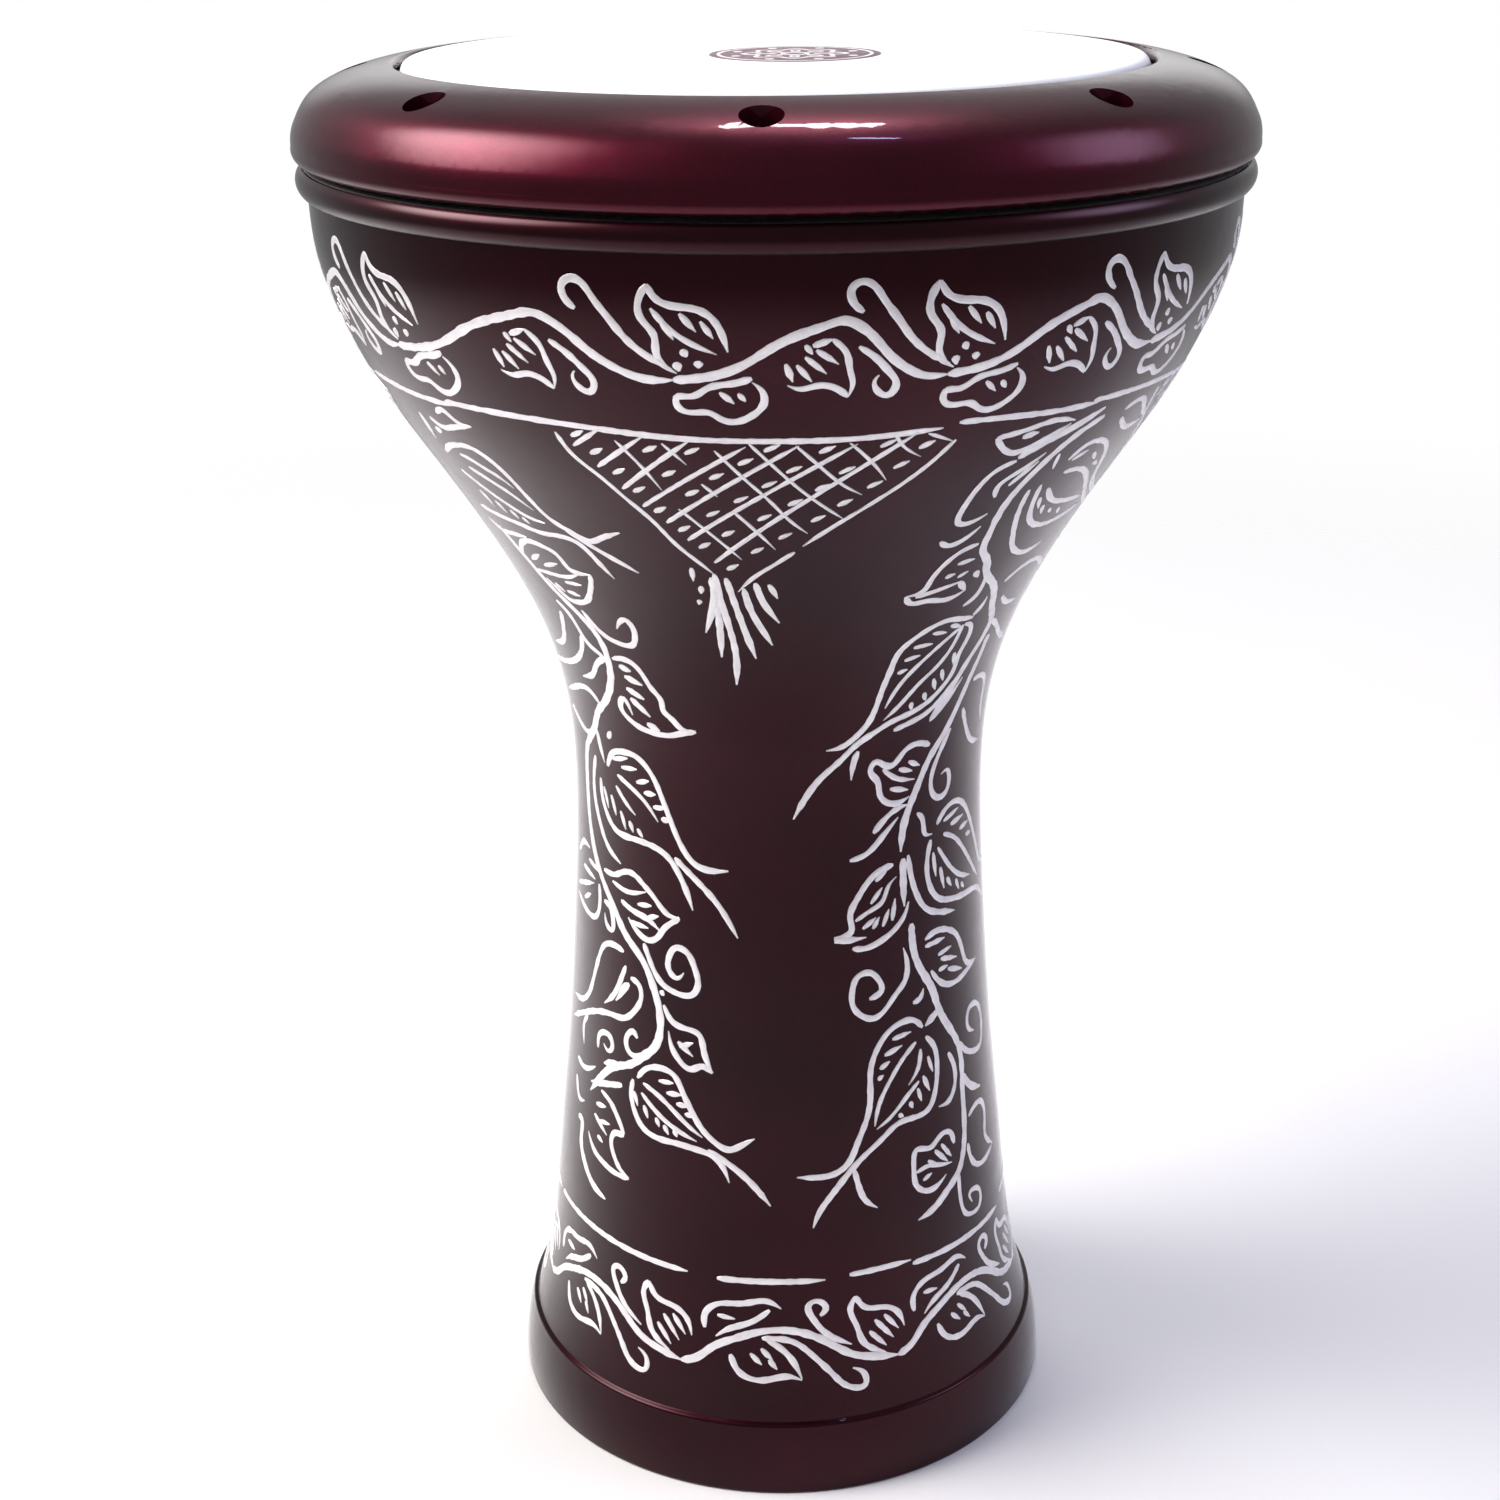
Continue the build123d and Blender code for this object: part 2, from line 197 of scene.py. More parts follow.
# The two garlands that hang beside the front net.
GARLAND_LEFT = [
    # top hook leaf
    *cuts(OUTLINE, (-49, 351.3, -47, 353, -44.8, 350, -42, 349.7),
        (-52, 348.8, -50.2, 346.8, -47, 347.6, -42, 349.7)),
    *cuts(BLOB, (-52.5, 344.7, -51, 345), (-54.8, 349, -55, 341)),
    # bud 1: top; lower side; tail
    *cuts(OUTLINE, (-54.8, 336.8, -52, 339.7, -49, 341.3, -45.5, 341.8, -42.5, 339.3, -40.2, 333.8,
         -38.6, 327.2, -36.3, 321.3, -32.8, 318, -30.5, 316.3, -27.8, 318, -23.6, 321),
        (-57.8, 318, -52.8, 317.2, -45.5, 316.3, -40.9, 315.5, -36.3, 316, -33.2, 314.7, -30.5, 308,
         -28.8, 303.8), (-34.4, 318.8, -29.8, 313.8, -25.9, 310, -23, 307.3)),
    *cuts(RIB, (-50.2, 333.8, -45.5, 330.5, -42, 327.2, -39.4, 323.8),
        (-54, 331.3, -50.2, 327.2, -45.5, 323, -42, 320.5, -38.6, 319.7)),
    *cuts(HATCH, (-50, 338, -47.5, 337, -45.5, 335.5, -43.5, 334, -42, 332.5, -40.8, 330.5),
        (-52.5, 325.5, -51, 320.5), (-49.4, 323, -47.8, 319.7), (-46.3, 321.3, -45.2, 318.8),
        (-44, 319.7, -42.8, 318)),
    # under-stroke; leaf: top; lower side
    *cuts(OUTLINE, (-58.6, 313.8, -56.7, 311.3, -52.8, 311, -47, 311.8),
        (-53.6, 303.4, -50.9, 308, -47, 310.5, -43.2, 310, -40.5, 308, -39.4, 303.8, -37.5, 303,
         -34.4, 303.4),
        (-34.4, 303.4, -35.5, 299.7, -37, 296.3, -39, 293, -42, 291.3, -44.8, 291.3, -47, 293.8,
         -49.4, 297.2)),
    *cuts(RIB, (-50.9, 299.3, -45.5, 299.7, -40.9, 300.5, -37.5, 302.6)),
    *cuts(HATCH, (-50.5, 303, -46.3, 306.3), (-47, 302.2, -42, 304.7), (-47, 296, -44.8, 294),
        (-43, 298, -38.3, 298.5), (-44, 294.5, -40.5, 294)),
    # stem; branch
    *cuts(STEM, (-56, 312, -52, 299.7, -49.4, 293.8, -45.5, 288, -42.5, 283, -40.9, 278, -40.9, 272.2,
         -42, 265.5, -44.4, 259.7, -47.8, 254.7, -51.7, 250.5, -56.5, 242.2, -62, 235.6, -64.5, 226.7,
         -64.8, 216.7, -63.5, 207.8, -60, 198.9, -55.5, 192.2, -50, 185.6, -44, 177.8, -38, 172.2,
         -34, 164.4, -31.8, 156.7, -31.5, 150, -33, 144.4, -36.5, 140, -41.5, 135, -46.5, 132.2,
         -52, 126.7, -58, 117.8), (-46, 133.3, -52, 130.6)),
    # curl; leaf: top; lower side
    *cuts(OUTLINE, (-42.5, 288.4, -40.9, 283.8, -38.2, 280.5, -34.8, 279.2, -31.3, 279.7, -29.8, 283,
         -29.6, 286.8, -30.7, 288.8, -32, 288, -34, 284.7),
        (-39.2, 272.6, -37, 273.4, -33.6, 273, -31.3, 269.7, -29.4, 264.7, -27.5, 261, -27.5, 258,
         -25.5, 255.5, -23.2, 252.6, -19.2, 252.2),
        (-19.2, 252.2, -22.5, 251.3, -26.3, 249.7, -30.9, 249.3, -35.5, 250, -39.4, 252.2, -41.3, 255.5,
         -39.8, 258.8, -37.5, 253.8)),
    *cuts(BLOB, (-37.8, 270.5, -34.4, 269.7), (-37, 267.2, -32, 265.5), (-37.5, 263, -32.5, 260.5),
        (-37, 259.7, -31.7, 254.7), (-33.2, 252, -29.5, 250.5)),
    # rose/bud; left leaf; bracket
    *cuts(OUTLINE, (-50.9, 288.8, -49, 286.3, -47.5, 280.5, -45.5, 274.7, -42.5, 272, -44.8, 269.7,
         -49.4, 263.8, -54.8, 261.3), (-47.5, 278, -50.2, 272.2, -54.8, 267.2, -61.3, 263.8, -74, 260.5),
        (-51.7, 284.7, -54.8, 278, -58.6, 272.2, -66.3, 268.8),
        (-50.2, 253.8, -53.6, 256.8, -57.5, 256.8, -62.5, 254.7, -70.2, 251.3),
        (-70.2, 245.5, -64.4, 241.3, -59.4, 240.5, -56.7, 243.8),
        (-54.5, 243.3, -54, 237.8, -52.5, 232.8)),
    *cuts(BLOB, (-49.5, 242.2, -47.5, 245)),
    # inner parallel; bud 2: top; lower side; long tail
    *cuts(OUTLINE, (-57.5, 233.3, -59.5, 226.7, -59.5, 217.8, -57, 211.1, -52.5, 204.4, -46.8, 201.1),
        (-51.3, 232.2, -48, 237.8, -44, 239.4, -39, 239.4, -34.5, 235.6, -31, 227.8, -28, 219.4,
         -24.5, 211.7, -21, 207.8, -16.5, 206.7, -12, 207.2),
        (-55.5, 226.7, -55.3, 221.1, -53, 215.6, -49, 211.7, -43, 211.1, -36, 211.1, -30, 208.9,
         -26.5, 204.4, -24, 198.9, -22, 192.8), (-27.5, 208.9, -21.5, 203.3, -15.5, 196.7, -9.5, 185.6)),
    *cuts(RIB, (-47, 230.6, -42, 228.3, -37, 225, -32.5, 219.4), (-48, 226.7, -44, 222.2, -40.5, 219.4)),
    *cuts(HATCH, (-48.5, 235.6, -42, 237.8), (-45, 233.9, -39, 235), (-39.5, 230.6, -35, 232.2),
        (-37, 227.8, -33, 228.3), (-34, 223.9, -30, 224.4), (-31.5, 220.6, -28.5, 220.6),
        (-54, 224.4, -52, 217.8), (-50.5, 222.8, -48.5, 216.7), (-46.5, 218.9, -44.5, 213.3),
        (-43, 216.7, -41.5, 213.3), (-40, 215, -38, 212.8)),
    # leaf: top; lower side; second
    *cuts(OUTLINE, (-54.8, 196.1, -49, 196.7, -45.5, 198.9, -41.5, 199.4, -38, 197.2, -34.5, 194.4,
         -31.5, 191.1, -29, 189.4, -26, 189.4),
        (-26, 189.4, -29, 186.7, -31, 184.4, -32.5, 181.7, -35.5, 179.4, -39.5, 180.6, -43.5, 184.4),
        (-46.5, 188.9, -41.5, 187.2, -36, 186.1, -32, 183.5)),
    *cuts(RIB, (-50.5, 193.9, -44, 192.8, -37, 195)),
    *cuts(HATCH, (-40, 190, -35, 191), (-36.5, 186.7, -32.5, 188.3), (-43, 183.3, -36, 183.3)),
    # curl; small curl
    *cuts(OUTLINE, (-37.5, 177.8, -35, 172.2, -31.5, 166.7, -26.5, 164.4, -22, 165, -20.5, 167.8,
         -21.5, 174.4, -24, 178.9, -27, 179.4, -29, 176.1, -28.8, 171.1, -26.5, 169.4, -24.5, 171.7),
        (-54.5, 185.6, -52, 185, -50, 181.1, -50.5, 177.2, -52.5, 177.8, -54, 181.7)),
    # small leaf: dot
    *cuts(BLOB, (-31, 163.3)),
    # upper side; lower side
    *cuts(OUTLINE, (-30.5, 159.4, -27.5, 154.4, -24, 153.3, -20, 152.2, -18.5, 146.7, -16, 140),
        (-16, 140, -19, 141.7, -22, 140, -25.5, 142.2, -28, 146.7, -28.8, 151.1)),
    # inner
    *cuts(HATCH, (-26, 148.3, -21.5, 144.4), (-25.5, 146.7, -21.5, 149)),
    # left bud
    *cuts(OUTLINE, (-45, 172.2, -49, 172.8, -53.5, 171.1, -56.5, 165.6, -59, 157.8, -62, 150, -66.5, 145.6,
         -74, 143.9), (-44, 167.8, -46, 162.2, -49, 155.6, -53, 151.1),
        (-42, 164.4, -39, 163.3, -38, 160, -40, 154.4, -44, 150, -49, 148.9, -55, 147.2, -64, 142.2,
         -74, 135.6)),
    *cuts(BLOB, (-42.5, 162.2, -44.5, 160, -46, 157.2, -47.8, 154.4)),
    # tail; small curls
    *cuts(OUTLINE, (-62, 142.2, -64.5, 137.8, -63.5, 131.1),
        (-39, 145, -40.5, 146.7, -42.5, 145, -43, 141.1, -41.5, 138.9, -39, 138.9, -36, 142.2),
        (-55.3, 134.4, -55, 138.9, -52.5, 141.1, -49.5, 140.6, -48.8, 137.2, -50.5, 135.6, -52.5, 137.2)),
    *cuts(BLOB, (-44, 126.7, -58, 121)),
    # bud 3: top; lower side; tail
    *cuts(OUTLINE, (-38.5, 131.7, -36, 135.6, -31, 137.8, -27, 136.7, -24.5, 132.2, -22, 126.7, -19, 121.1,
         -15, 116.7, -11.5, 115, -8.5, 116.7, -5, 119.4),
        (-40, 130.6, -40.5, 125.6, -39, 120, -36, 115.6, -32, 113.9, -26, 113.9, -19.5, 113.3, -15, 111.7,
         -12.5, 107.8, -11.3, 103.9), (-17, 113.9, -10, 108.9, -5, 103.3, -1, 96.9)),
    *cuts(RIB, (-36.5, 130.6, -31.5, 128.3, -26.5, 124.4, -21.5, 120, -18.5, 117.8),
        (-37, 127.2, -31.5, 122.2, -26.5, 118.9, -20, 116.1)),
    *cuts(HATCH, (-31.5, 133.3, -27, 133.9), (-29, 130, -24.5, 130.6), (-26, 127.2, -22.5, 127.2),
        (-23.5, 124.4, -20.5, 124.4), (-39.5, 126.7, -38, 122.2), (-36, 123.3, -34.5, 119.4),
        (-32, 120.6, -30.8, 117.8), (-29.5, 118.9, -28, 116.1), (-26.5, 118.3, -25.5, 116.1)),
    # lower leaf: top; lower side
    *cuts(OUTLINE, (-52.5, 120.6, -48.5, 118.9, -45.5, 115.6, -43, 110, -45.5, 109.4, -47, 106.7,
         -45.5, 101.1, -43, 97.8, -39.8, 96.1),
        (-39.8, 96.1, -45, 95.6, -50, 96.7, -54.5, 98.9, -57.5, 103.3)),
    *cuts(HATCH, (-54.5, 115, -50, 116.1), (-55, 111, -49, 106.7), (-52.5, 110, -48, 111),
        (-53, 104.4, -50.5, 103.3)),
    # lower stem end
    *cuts(STEM, (-64, 105, -62, 105, -61.5, 98.9, -59, 92.2, -54, 86.7, -48, 84.4)),
    # bits; far-left leaf
    *cuts(OUTLINE, (-67.5, 124.4, -64, 123.3, -56, 127.2), (-67.5, 117.8, -64, 111.1, -61, 112.2),
        (-74, 194.4, -69.5, 199.4, -64, 199.4),
        (-57.5, 190, -57, 183.3, -59, 178.3, -64, 177.2, -74, 180)),
    *cuts(HATCH, (-64.5, 195.5, -57.5, 194), (-69, 191.7, -60, 190.5), (-74, 183.3, -60.5, 189),
        (-67.5, 181, -62.5, 184.5)),
]

GARLAND_RIGHT = [
    # leaf
    *cuts(OUTLINE, (30.3, 350, 35, 351.3, 39, 352.6, 43, 351.3),
        (30.3, 350, 32, 346.3, 34, 344.3, 37, 345.5, 42.5, 350.5)),
    *cuts(BLOB, (34.5, 349, 37, 349.7)),
    # branch; upper stem; main stem
    *cuts(STEM, (35.5, 342.2, 40, 346.3, 45, 350, 48.5, 353),
        (49.5, 350, 45.5, 346.3, 42.5, 341.3, 40, 334.7, 38.5, 328.8, 38, 322.2, 38.3, 316.3, 39, 310.5,
         41.5, 306.3, 43.5, 301.3, 47.5, 296.3, 50.5, 291.3, 53, 285.5, 55.5, 280.5, 55.3, 274.7,
         53, 268.8, 50, 262, 46.5, 256, 43, 251.3),
        (58, 274.7, 58, 268, 56.5, 260.5, 54.5, 253.8, 50, 244.4, 45, 237.3, 41.5, 229.6, 38.5, 222.6,
         37, 217.9, 36, 209.1), (36.8, 206.7, 36.8, 200.2, 37, 190.8),
        (39.3, 184.4, 40, 174.4, 42.5, 167.3, 46, 160.2, 48.5, 152, 52.5, 143.8, 56, 136.7, 57.3, 129.6,
         57, 120.2, 56.8, 110.8, 55.5, 100.2, 52.5, 93.2, 47.5, 89.1, 42.5, 85.5, 37.3, 83.8)),
    # petals; hook; leaf: top; lower side
    *cuts(OUTLINE, (35.5, 341.3, 32.5, 338.8, 30.8, 333.8, 30, 328, 30.3, 322.6, 32, 321.8, 35.3, 324.3),
        (35, 329.7, 34.5, 333, 37, 337.2, 40.5, 342.2), (36.5, 333, 40, 339.7),
        (28.5, 316.8, 30, 315, 33, 316, 35.3, 320),
        (37, 313.4, 34, 311.8, 31.5, 308, 30, 303, 29.5, 300, 25.8, 298.4),
        (25.8, 298.4, 27, 295.9, 31, 295.5, 34.5, 294.7, 37.5, 295, 39.8, 296.8)),
    *cuts(HATCH, (28, 297.6, 32.5, 298.8, 37.5, 300.5), (34.5, 307.2, 38, 308), (33, 303, 35, 303.8),
        (36, 302.2, 38, 303.8)),
    # thick
    *cuts(BLOB, (37, 300.5, 39.8, 296.5), (40, 303, 41.5, 300.5)),
    # bits; bud 1: left outline; right side; tail
    *cuts(OUTLINE, (41.5, 290.5, 44, 293, 44.5, 296.3, 43.5, 300.5), (46.5, 285.5, 48, 288, 48.3, 291.3),
        (46.8, 284.7, 43, 285.5, 39, 286.3, 35, 285, 31.5, 282.2, 28.5, 278, 27.5, 272.2, 26.5, 266.3,
         25.5, 259.7, 24, 254.7, 21, 250.5, 17.5, 247.6, 13.5, 246.8),
        (45, 283, 47, 282.2, 48.5, 277.2, 47.5, 271.3, 47.5, 266.3, 45, 261.3, 41, 257.6, 35, 255,
         30, 253.4, 26, 251, 21.5, 247.8, 17.5, 243.2, 12.5, 237.9, 7.5, 229.6, 5.3, 224.7),
        (22, 245.5, 21.5, 244, 20.5, 236.1)),
    *cuts(RIB, (44, 282.2, 40, 278, 35, 272.2, 31, 266.3, 28, 258.8),
        (44.5, 283, 44, 276.3, 41.5, 270.5, 37, 265.5, 32, 258.8, 28, 254.7)),
    *cuts(HATCH, (36, 282.6, 40, 281.8), (32, 278.8, 37, 278.8), (30.5, 274.7, 34.5, 275.5),
        (29.5, 270.5, 32, 271.3), (40.5, 284, 44, 282.6), (45.5, 273, 47, 268), (43, 268, 44.5, 263.8),
        (41, 265.5, 42.5, 261.3), (39, 261.3, 40, 258.4), (35.5, 259, 36, 256.3)),
    # under-parallels; right bud; outer
    *cuts(OUTLINE, (31.5, 250.5, 36, 251.8, 41.5, 253.8, 47, 258.8, 52, 265.5),
        (43, 250.5, 47.5, 254.7, 52.5, 262.2),
        (47, 337.2, 49.5, 341, 53, 341, 56.5, 338, 59, 333, 61, 327.2, 64.5, 322.2, 70, 318, 74, 316.3),
        (48, 333, 52.5, 332.2, 56.5, 328.8, 61.5, 322.2, 67, 316.3, 74, 311.3),
        (46.5, 328.4, 49.5, 323.8, 54.5, 321, 62.5, 319.3),
        (44, 330.5, 45, 323.8, 47, 318, 50.5, 314.7, 56.5, 313.8, 65, 315.5),
        (41.8, 329.7, 42.5, 322.2, 44.5, 314.7, 47, 308.8, 50.5, 305.5, 54, 304.7, 58, 306.3)),
    *cuts(HATCH, (46, 325.5, 47.5, 321.3), (48.5, 322, 49.5, 318.8), (51.5, 319.7, 52.5, 318),
        (55, 318.5, 56, 316.3), (48, 336.8, 51, 338.8), (53.5, 337, 55.5, 334), (56, 333, 58, 331.3),
        (43.8, 340.5, 44.3, 335.5)),
    # top-right leaf; right leaves; serrated leaf: top
    *cuts(OUTLINE, (54.5, 350, 59, 351.3, 62, 347.2, 66, 343), (55, 347.2, 59, 342.6, 64.5, 343),
        (52, 295, 55.5, 298, 61.5, 298.8, 67.5, 295.5, 74, 291.3), (55, 288.8, 58.5, 285.5, 65, 284.3),
        (56, 280.5, 60, 277.2, 66.5, 271.3, 74, 268),
        (59, 258.8, 63.5, 258.8, 67.5, 255.5, 69.5, 248, 72, 240), (57, 250, 60, 244, 66, 236, 73, 233.5),
        (44.5, 242, 40, 243.8, 36, 242.6, 32, 238.5, 30, 239.1, 27, 240.8, 25.8, 238.5, 28, 234.4,
         29, 229.6, 31, 226.7, 35, 225.5, 38.5, 226.7)),
    *cuts(RIB, (29.5, 237.9, 34, 233.8, 40, 232)),
    *cuts(HATCH, (34.5, 236.7, 39, 235), (37.5, 238.5, 41.5, 236.1), (32, 230.8, 38, 229)),
    # strokes; leaf: top; lower side
    *cuts(OUTLINE, (27.3, 217.3, 31, 221.4, 35, 223.8, 38.5, 224),
        (20.5, 209.6, 25, 210.8, 30, 215.5, 35, 220.8),
        (33.5, 205.5, 30, 204.9, 26, 202, 22.5, 196.7, 20.5, 190.8, 20.5, 186.1, 16, 184.4, 20, 183.8,
         25, 183.8), (21, 180.8, 24, 180.2, 29, 181.4, 34, 184.4, 37, 187.9, 38.5, 192)),
    *cuts(RIB, (22, 189.6, 26, 192, 30, 194.4, 32, 199, 34.5, 201.4)),
    *cuts(HATCH, (24, 186.7, 28, 189.6), (27, 186.1, 29, 189.6), (30, 186.1, 32, 191.4),
        (33, 187.3, 34, 194.4), (26.5, 194.4, 30, 199), (28, 201.4, 32, 205)),
    # curve; curl; bud 2: top; lower side
    *cuts(OUTLINE, (38.5, 207.3, 39.5, 200.2, 41.5, 193.2, 45, 187.3, 50, 184.4, 57.3, 182),
        (41.5, 220.2, 43.5, 217.9, 45, 212, 47.5, 211.4),
        (52.5, 244.9, 49, 237.9, 46.5, 230.8, 47, 225.5, 50, 222.6, 53, 223.2, 54.5, 227.3, 53, 230.8,
         50.5, 230.2),
        (49.5, 213.8, 53, 217.3, 57.5, 218.5, 62, 216.7, 66.5, 211.4, 70, 205, 74, 196.7, 78, 190,
         84, 188), (47, 209.6, 45.5, 202.6, 46.5, 194.4, 50, 189, 55, 186.7, 62.5, 185, 74, 182, 80, 176)),
    *cuts(RIB, (52.5, 209.6, 57.5, 206.7, 62.5, 201.4, 67, 195.5, 74, 186),
        (50, 206, 54.5, 199, 60, 193.2, 67.5, 189.6)),
    *cuts(HATCH, (52.5, 213.8, 60, 215.5), (56, 211.4, 63, 212), (61, 207.9, 66.5, 208.5),
        (65, 204.4, 68.5, 203.8), (48, 205, 49, 196.7), (51, 199, 52.5, 191.4), (54, 194.4, 56, 190.8),
        (58.5, 192, 60, 188), (61.5, 189.6, 63, 187.3)),
    # leaf: top; lower side
    *cuts(OUTLINE, (44, 177.3, 48, 178.5, 53, 177.3, 57.5, 173.8, 60.5, 167.3, 63, 161.4, 69.5, 159.6),
        (46, 166.1, 49, 161.4, 53, 158.5, 58.5, 157.9, 65, 159.1, 69.5, 159.6)),
    *cuts(HATCH, (44, 175, 52, 175), (49, 170.2, 55, 170.8), (50, 168.5, 57.5, 166), (49, 165, 53, 165),
        (53, 163.8, 60, 160.8)),
    # spiral
    *cuts(OUTLINE, (25.5, 163.2, 27.5, 163.8, 29, 164.9, 28, 169.6, 25.5, 172, 22.5, 171.4, 20.8, 167.3,
         21, 161.4, 23.5, 157.9, 27, 156.5, 29.5, 157.9, 33.5, 162.6, 36.5, 166.1, 37.5, 170.8,
         36.3, 177.3), (39, 157.9, 41.5, 158.5, 42.8, 161.4)),
    # branch
    *cuts(STEM, (48.5, 152, 43, 148.5)),
    # bud 3: left; right side; tail
    *cuts(OUTLINE, (42, 148.5, 39, 152, 35, 152.6, 31, 150.8, 27.5, 146.1, 25.5, 140.2, 25, 129.6,
         24, 123.8, 21, 115.5, 18.5, 109.6, 15, 106.7, 10.5, 106.1, 5.5, 106.5),
        (43, 144.9, 46, 140.2, 46.8, 133.2, 45.5, 124.9, 43, 120.2, 39, 119.1, 33, 119.1, 28, 115.5,
         22.5, 110.8, 18, 105.5, 14, 99.6, 11, 94.4, 9.3, 89.1),
        (20, 107.3, 21, 101.4, 23, 95.5, 25.8, 92.6)),
    *cuts(RIB, (39.5, 144.4, 35, 140.2, 31, 134.4, 27.5, 127.3, 26, 120.2),
        (40, 130.8, 36, 127.3, 30, 121.4, 26.5, 119.1), (41, 141.4, 40, 135.5, 36.5, 130.8)),
    *cuts(HATCH, (32, 147.9, 38, 148.5), (29.5, 143.2, 35, 144.9), (28, 139, 31, 140.8),
        (27.3, 135.5, 29, 136.7), (43.5, 137.9, 45, 132), (41.5, 132, 43.5, 126.1),
        (39.5, 128.5, 40.5, 123.8), (36.8, 125, 37.5, 122.6), (33, 122, 34.5, 120.8)),
    # hook; right curl
    *cuts(OUTLINE, (51.5, 135.5, 53.8, 129.6, 53.3, 122.6, 50.5, 119.1, 46.5, 119.1),
        (56.5, 136.7, 60, 132, 65, 129.1, 69.5, 129.1, 71.5, 134.4, 70.5, 141.4, 67, 144.9, 62.5, 144.4,
         62, 139, 65.5, 136.1)),
    # branch
    *cuts(STEM, (57.5, 124.9, 61, 119.1, 67, 115.3)),
    # leaf
    *cuts(OUTLINE, (51.5, 103.8, 50, 108.5, 46.5, 109.1, 42.5, 106.7, 38, 107.9, 36.8, 101.4, 37.5, 95.5,
         40.5, 92.6, 44, 92.6, 47.5, 94.9)),
    *cuts(RIB, (37.5, 100.2, 41.5, 100.8, 46, 99.1, 50, 97.9)),
    *cuts(HATCH, (41.5, 102.6, 45, 99), (44, 105, 48.5, 99), (46.5, 106, 50, 100),
        (39.5, 96.7, 42.5, 97.9)),
    # right leaf
    *cuts(OUTLINE, (59, 109.1, 63, 110.8, 67, 109.6, 68.5, 104.9, 67.5, 97.9, 72.5, 90.8),
        (57.5, 100.2, 58.5, 94.4, 61.5, 90.2, 66.5, 89.1, 72.5, 90.8)),
    # bottom curl
    *cuts(HATCH, (52.5, 92.6, 52.5, 83.8, 54.5, 76.7, 58, 74.9, 61, 75.5, 62, 79.1, 60, 82.6, 56.5, 82.6,
         57.5, 79.1)),
]

# The upper line is cut quarter by quarter; it dips where a net hangs from it.
UPPER_BORDER = [
    *cuts(OUTLINE, (-45, 356.3, -20, 355.3, -10, 354, 0, 353.7, 10, 353.8, 22, 355.3),
        (24, 356.5, 30, 356.3, 38, 355.6, 46, 355.5)),
]
# The lower line is broken, and repeats on the other half of the wall.
LOWER_BORDER = [
    *cuts(OUTLINE, (-72, 71.6, -55, 71.9, -38, 71.4, -21.5, 71), (-14, 70.6, -2, 70.9, 12, 70.8),
        (18, 71.4, 26, 71.4, 34.5, 71), (35, 69.5, 52, 68.6, 72, 67.5), (75, 70.2, 90, 70.9, 106, 71.3)),
]
# The upper vine's wave as drawn, and where its crest lies in it, in degrees. Then each wave's
# trough and length: three as seen at the front, the others spread evenly round the back.
UPPER_WAVE, UPPER_CREST = 30.5, 18.4
UPPER_WAVES = [(-50, 40), (-10, 31), (21, 31)] + [(52 + 32.25 * k, 32.25) for k in range(8)]
LOWER_CRESTS = [-50 + 51.43 * k for k in range(7)]
LOWER_HALF_WAVE = 26.5
QUARTERS = (0, 90, 180, 270)
HALVES = (0, 180)


# ---- Meshes -------------------------------------------------------------------------------
def smooth_curve(points, per_span=12):
    """Points along the natural cubic spline through the given points."""
    p = np.array(points, float)
    if len(p) < 3:
        return np.linspace(p[0], p[-1], per_span + 1)
    h = np.maximum(np.linalg.norm(np.diff(p, axis=0), axis=1), 1e-6)
    system, side = np.zeros((len(p), len(p))), np.zeros_like(p)
    system[0, 0] = system[-1, -1] = 1
    for i in range(1, len(p) - 1):
        system[i, i - 1 : i + 2] = h[i - 1], 2 * (h[i - 1] + h[i]), h[i]
        side[i] = 6 * ((p[i + 1] - p[i]) / h[i] - (p[i] - p[i - 1]) / h[i - 1])
    bend = np.linalg.solve(system, side)
    rows = []
    for i in range(len(p) - 1):
        s = np.linspace(0, h[i], per_span, endpoint=False)[:, None]
        far = h[i] - s
        rows.append(
            (bend[i] * far**3 + bend[i + 1] * s**3) / (6 * h[i])
            + (p[i] / h[i] - bend[i] * h[i] / 6) * far
            + (p[i + 1] / h[i] - bend[i + 1] * h[i] / 6) * s
        )
    return np.vstack(rows + [p[-1:]])


def arc(start, middle, end, steps=8):
    """Points on the circle through three points, the first and last included."""
    a, b, c = (complex(*q) for q in (start, middle, end))
    w = (c - a) / (b - a)
    centre = (b - a) * (w - abs(w) ** 2) / (2j * w.imag) + a
    turn = math.atan2(((c - centre) / (a - centre)).imag, ((c - centre) / (a - centre)).real)
    half = math.atan2(((b - centre) / (a - centre)).imag, ((b - centre) / (a - centre)).real)
    if turn * half < 0:
        turn += math.copysign(2 * math.pi, half)
    spun = [centre + (a - centre) * complex(math.cos(turn * k / steps), math.sin(turn * k / steps))
            for k in range(steps + 1)]
    return [(q.real, q.imag) for q in spun]


def mesh_object(name, verts, faces, material, slots=None, sharp_angle=35):
    """A smooth-shaded mesh whose edges over sharp_angle stay crisp. slots gives each face its material."""
    mesh = bpy.data.meshes.new(name)
    mesh.from_pydata([tuple(v) for v in verts], [], faces)
    for m in material if isinstance(material, (list, tuple)) else [material]:
        mesh.materials.append(m)
    if slots is not None:
        mesh.polygons.foreach_set("material_index", slots)
    mesh.validate()
    mesh.shade_smooth()
    mesh.set_sharp_from_angle(angle=math.radians(sharp_angle))
    obj = bpy.data.objects.new(name, mesh)
    bpy.context.scene.collection.objects.link(obj)
    return obj


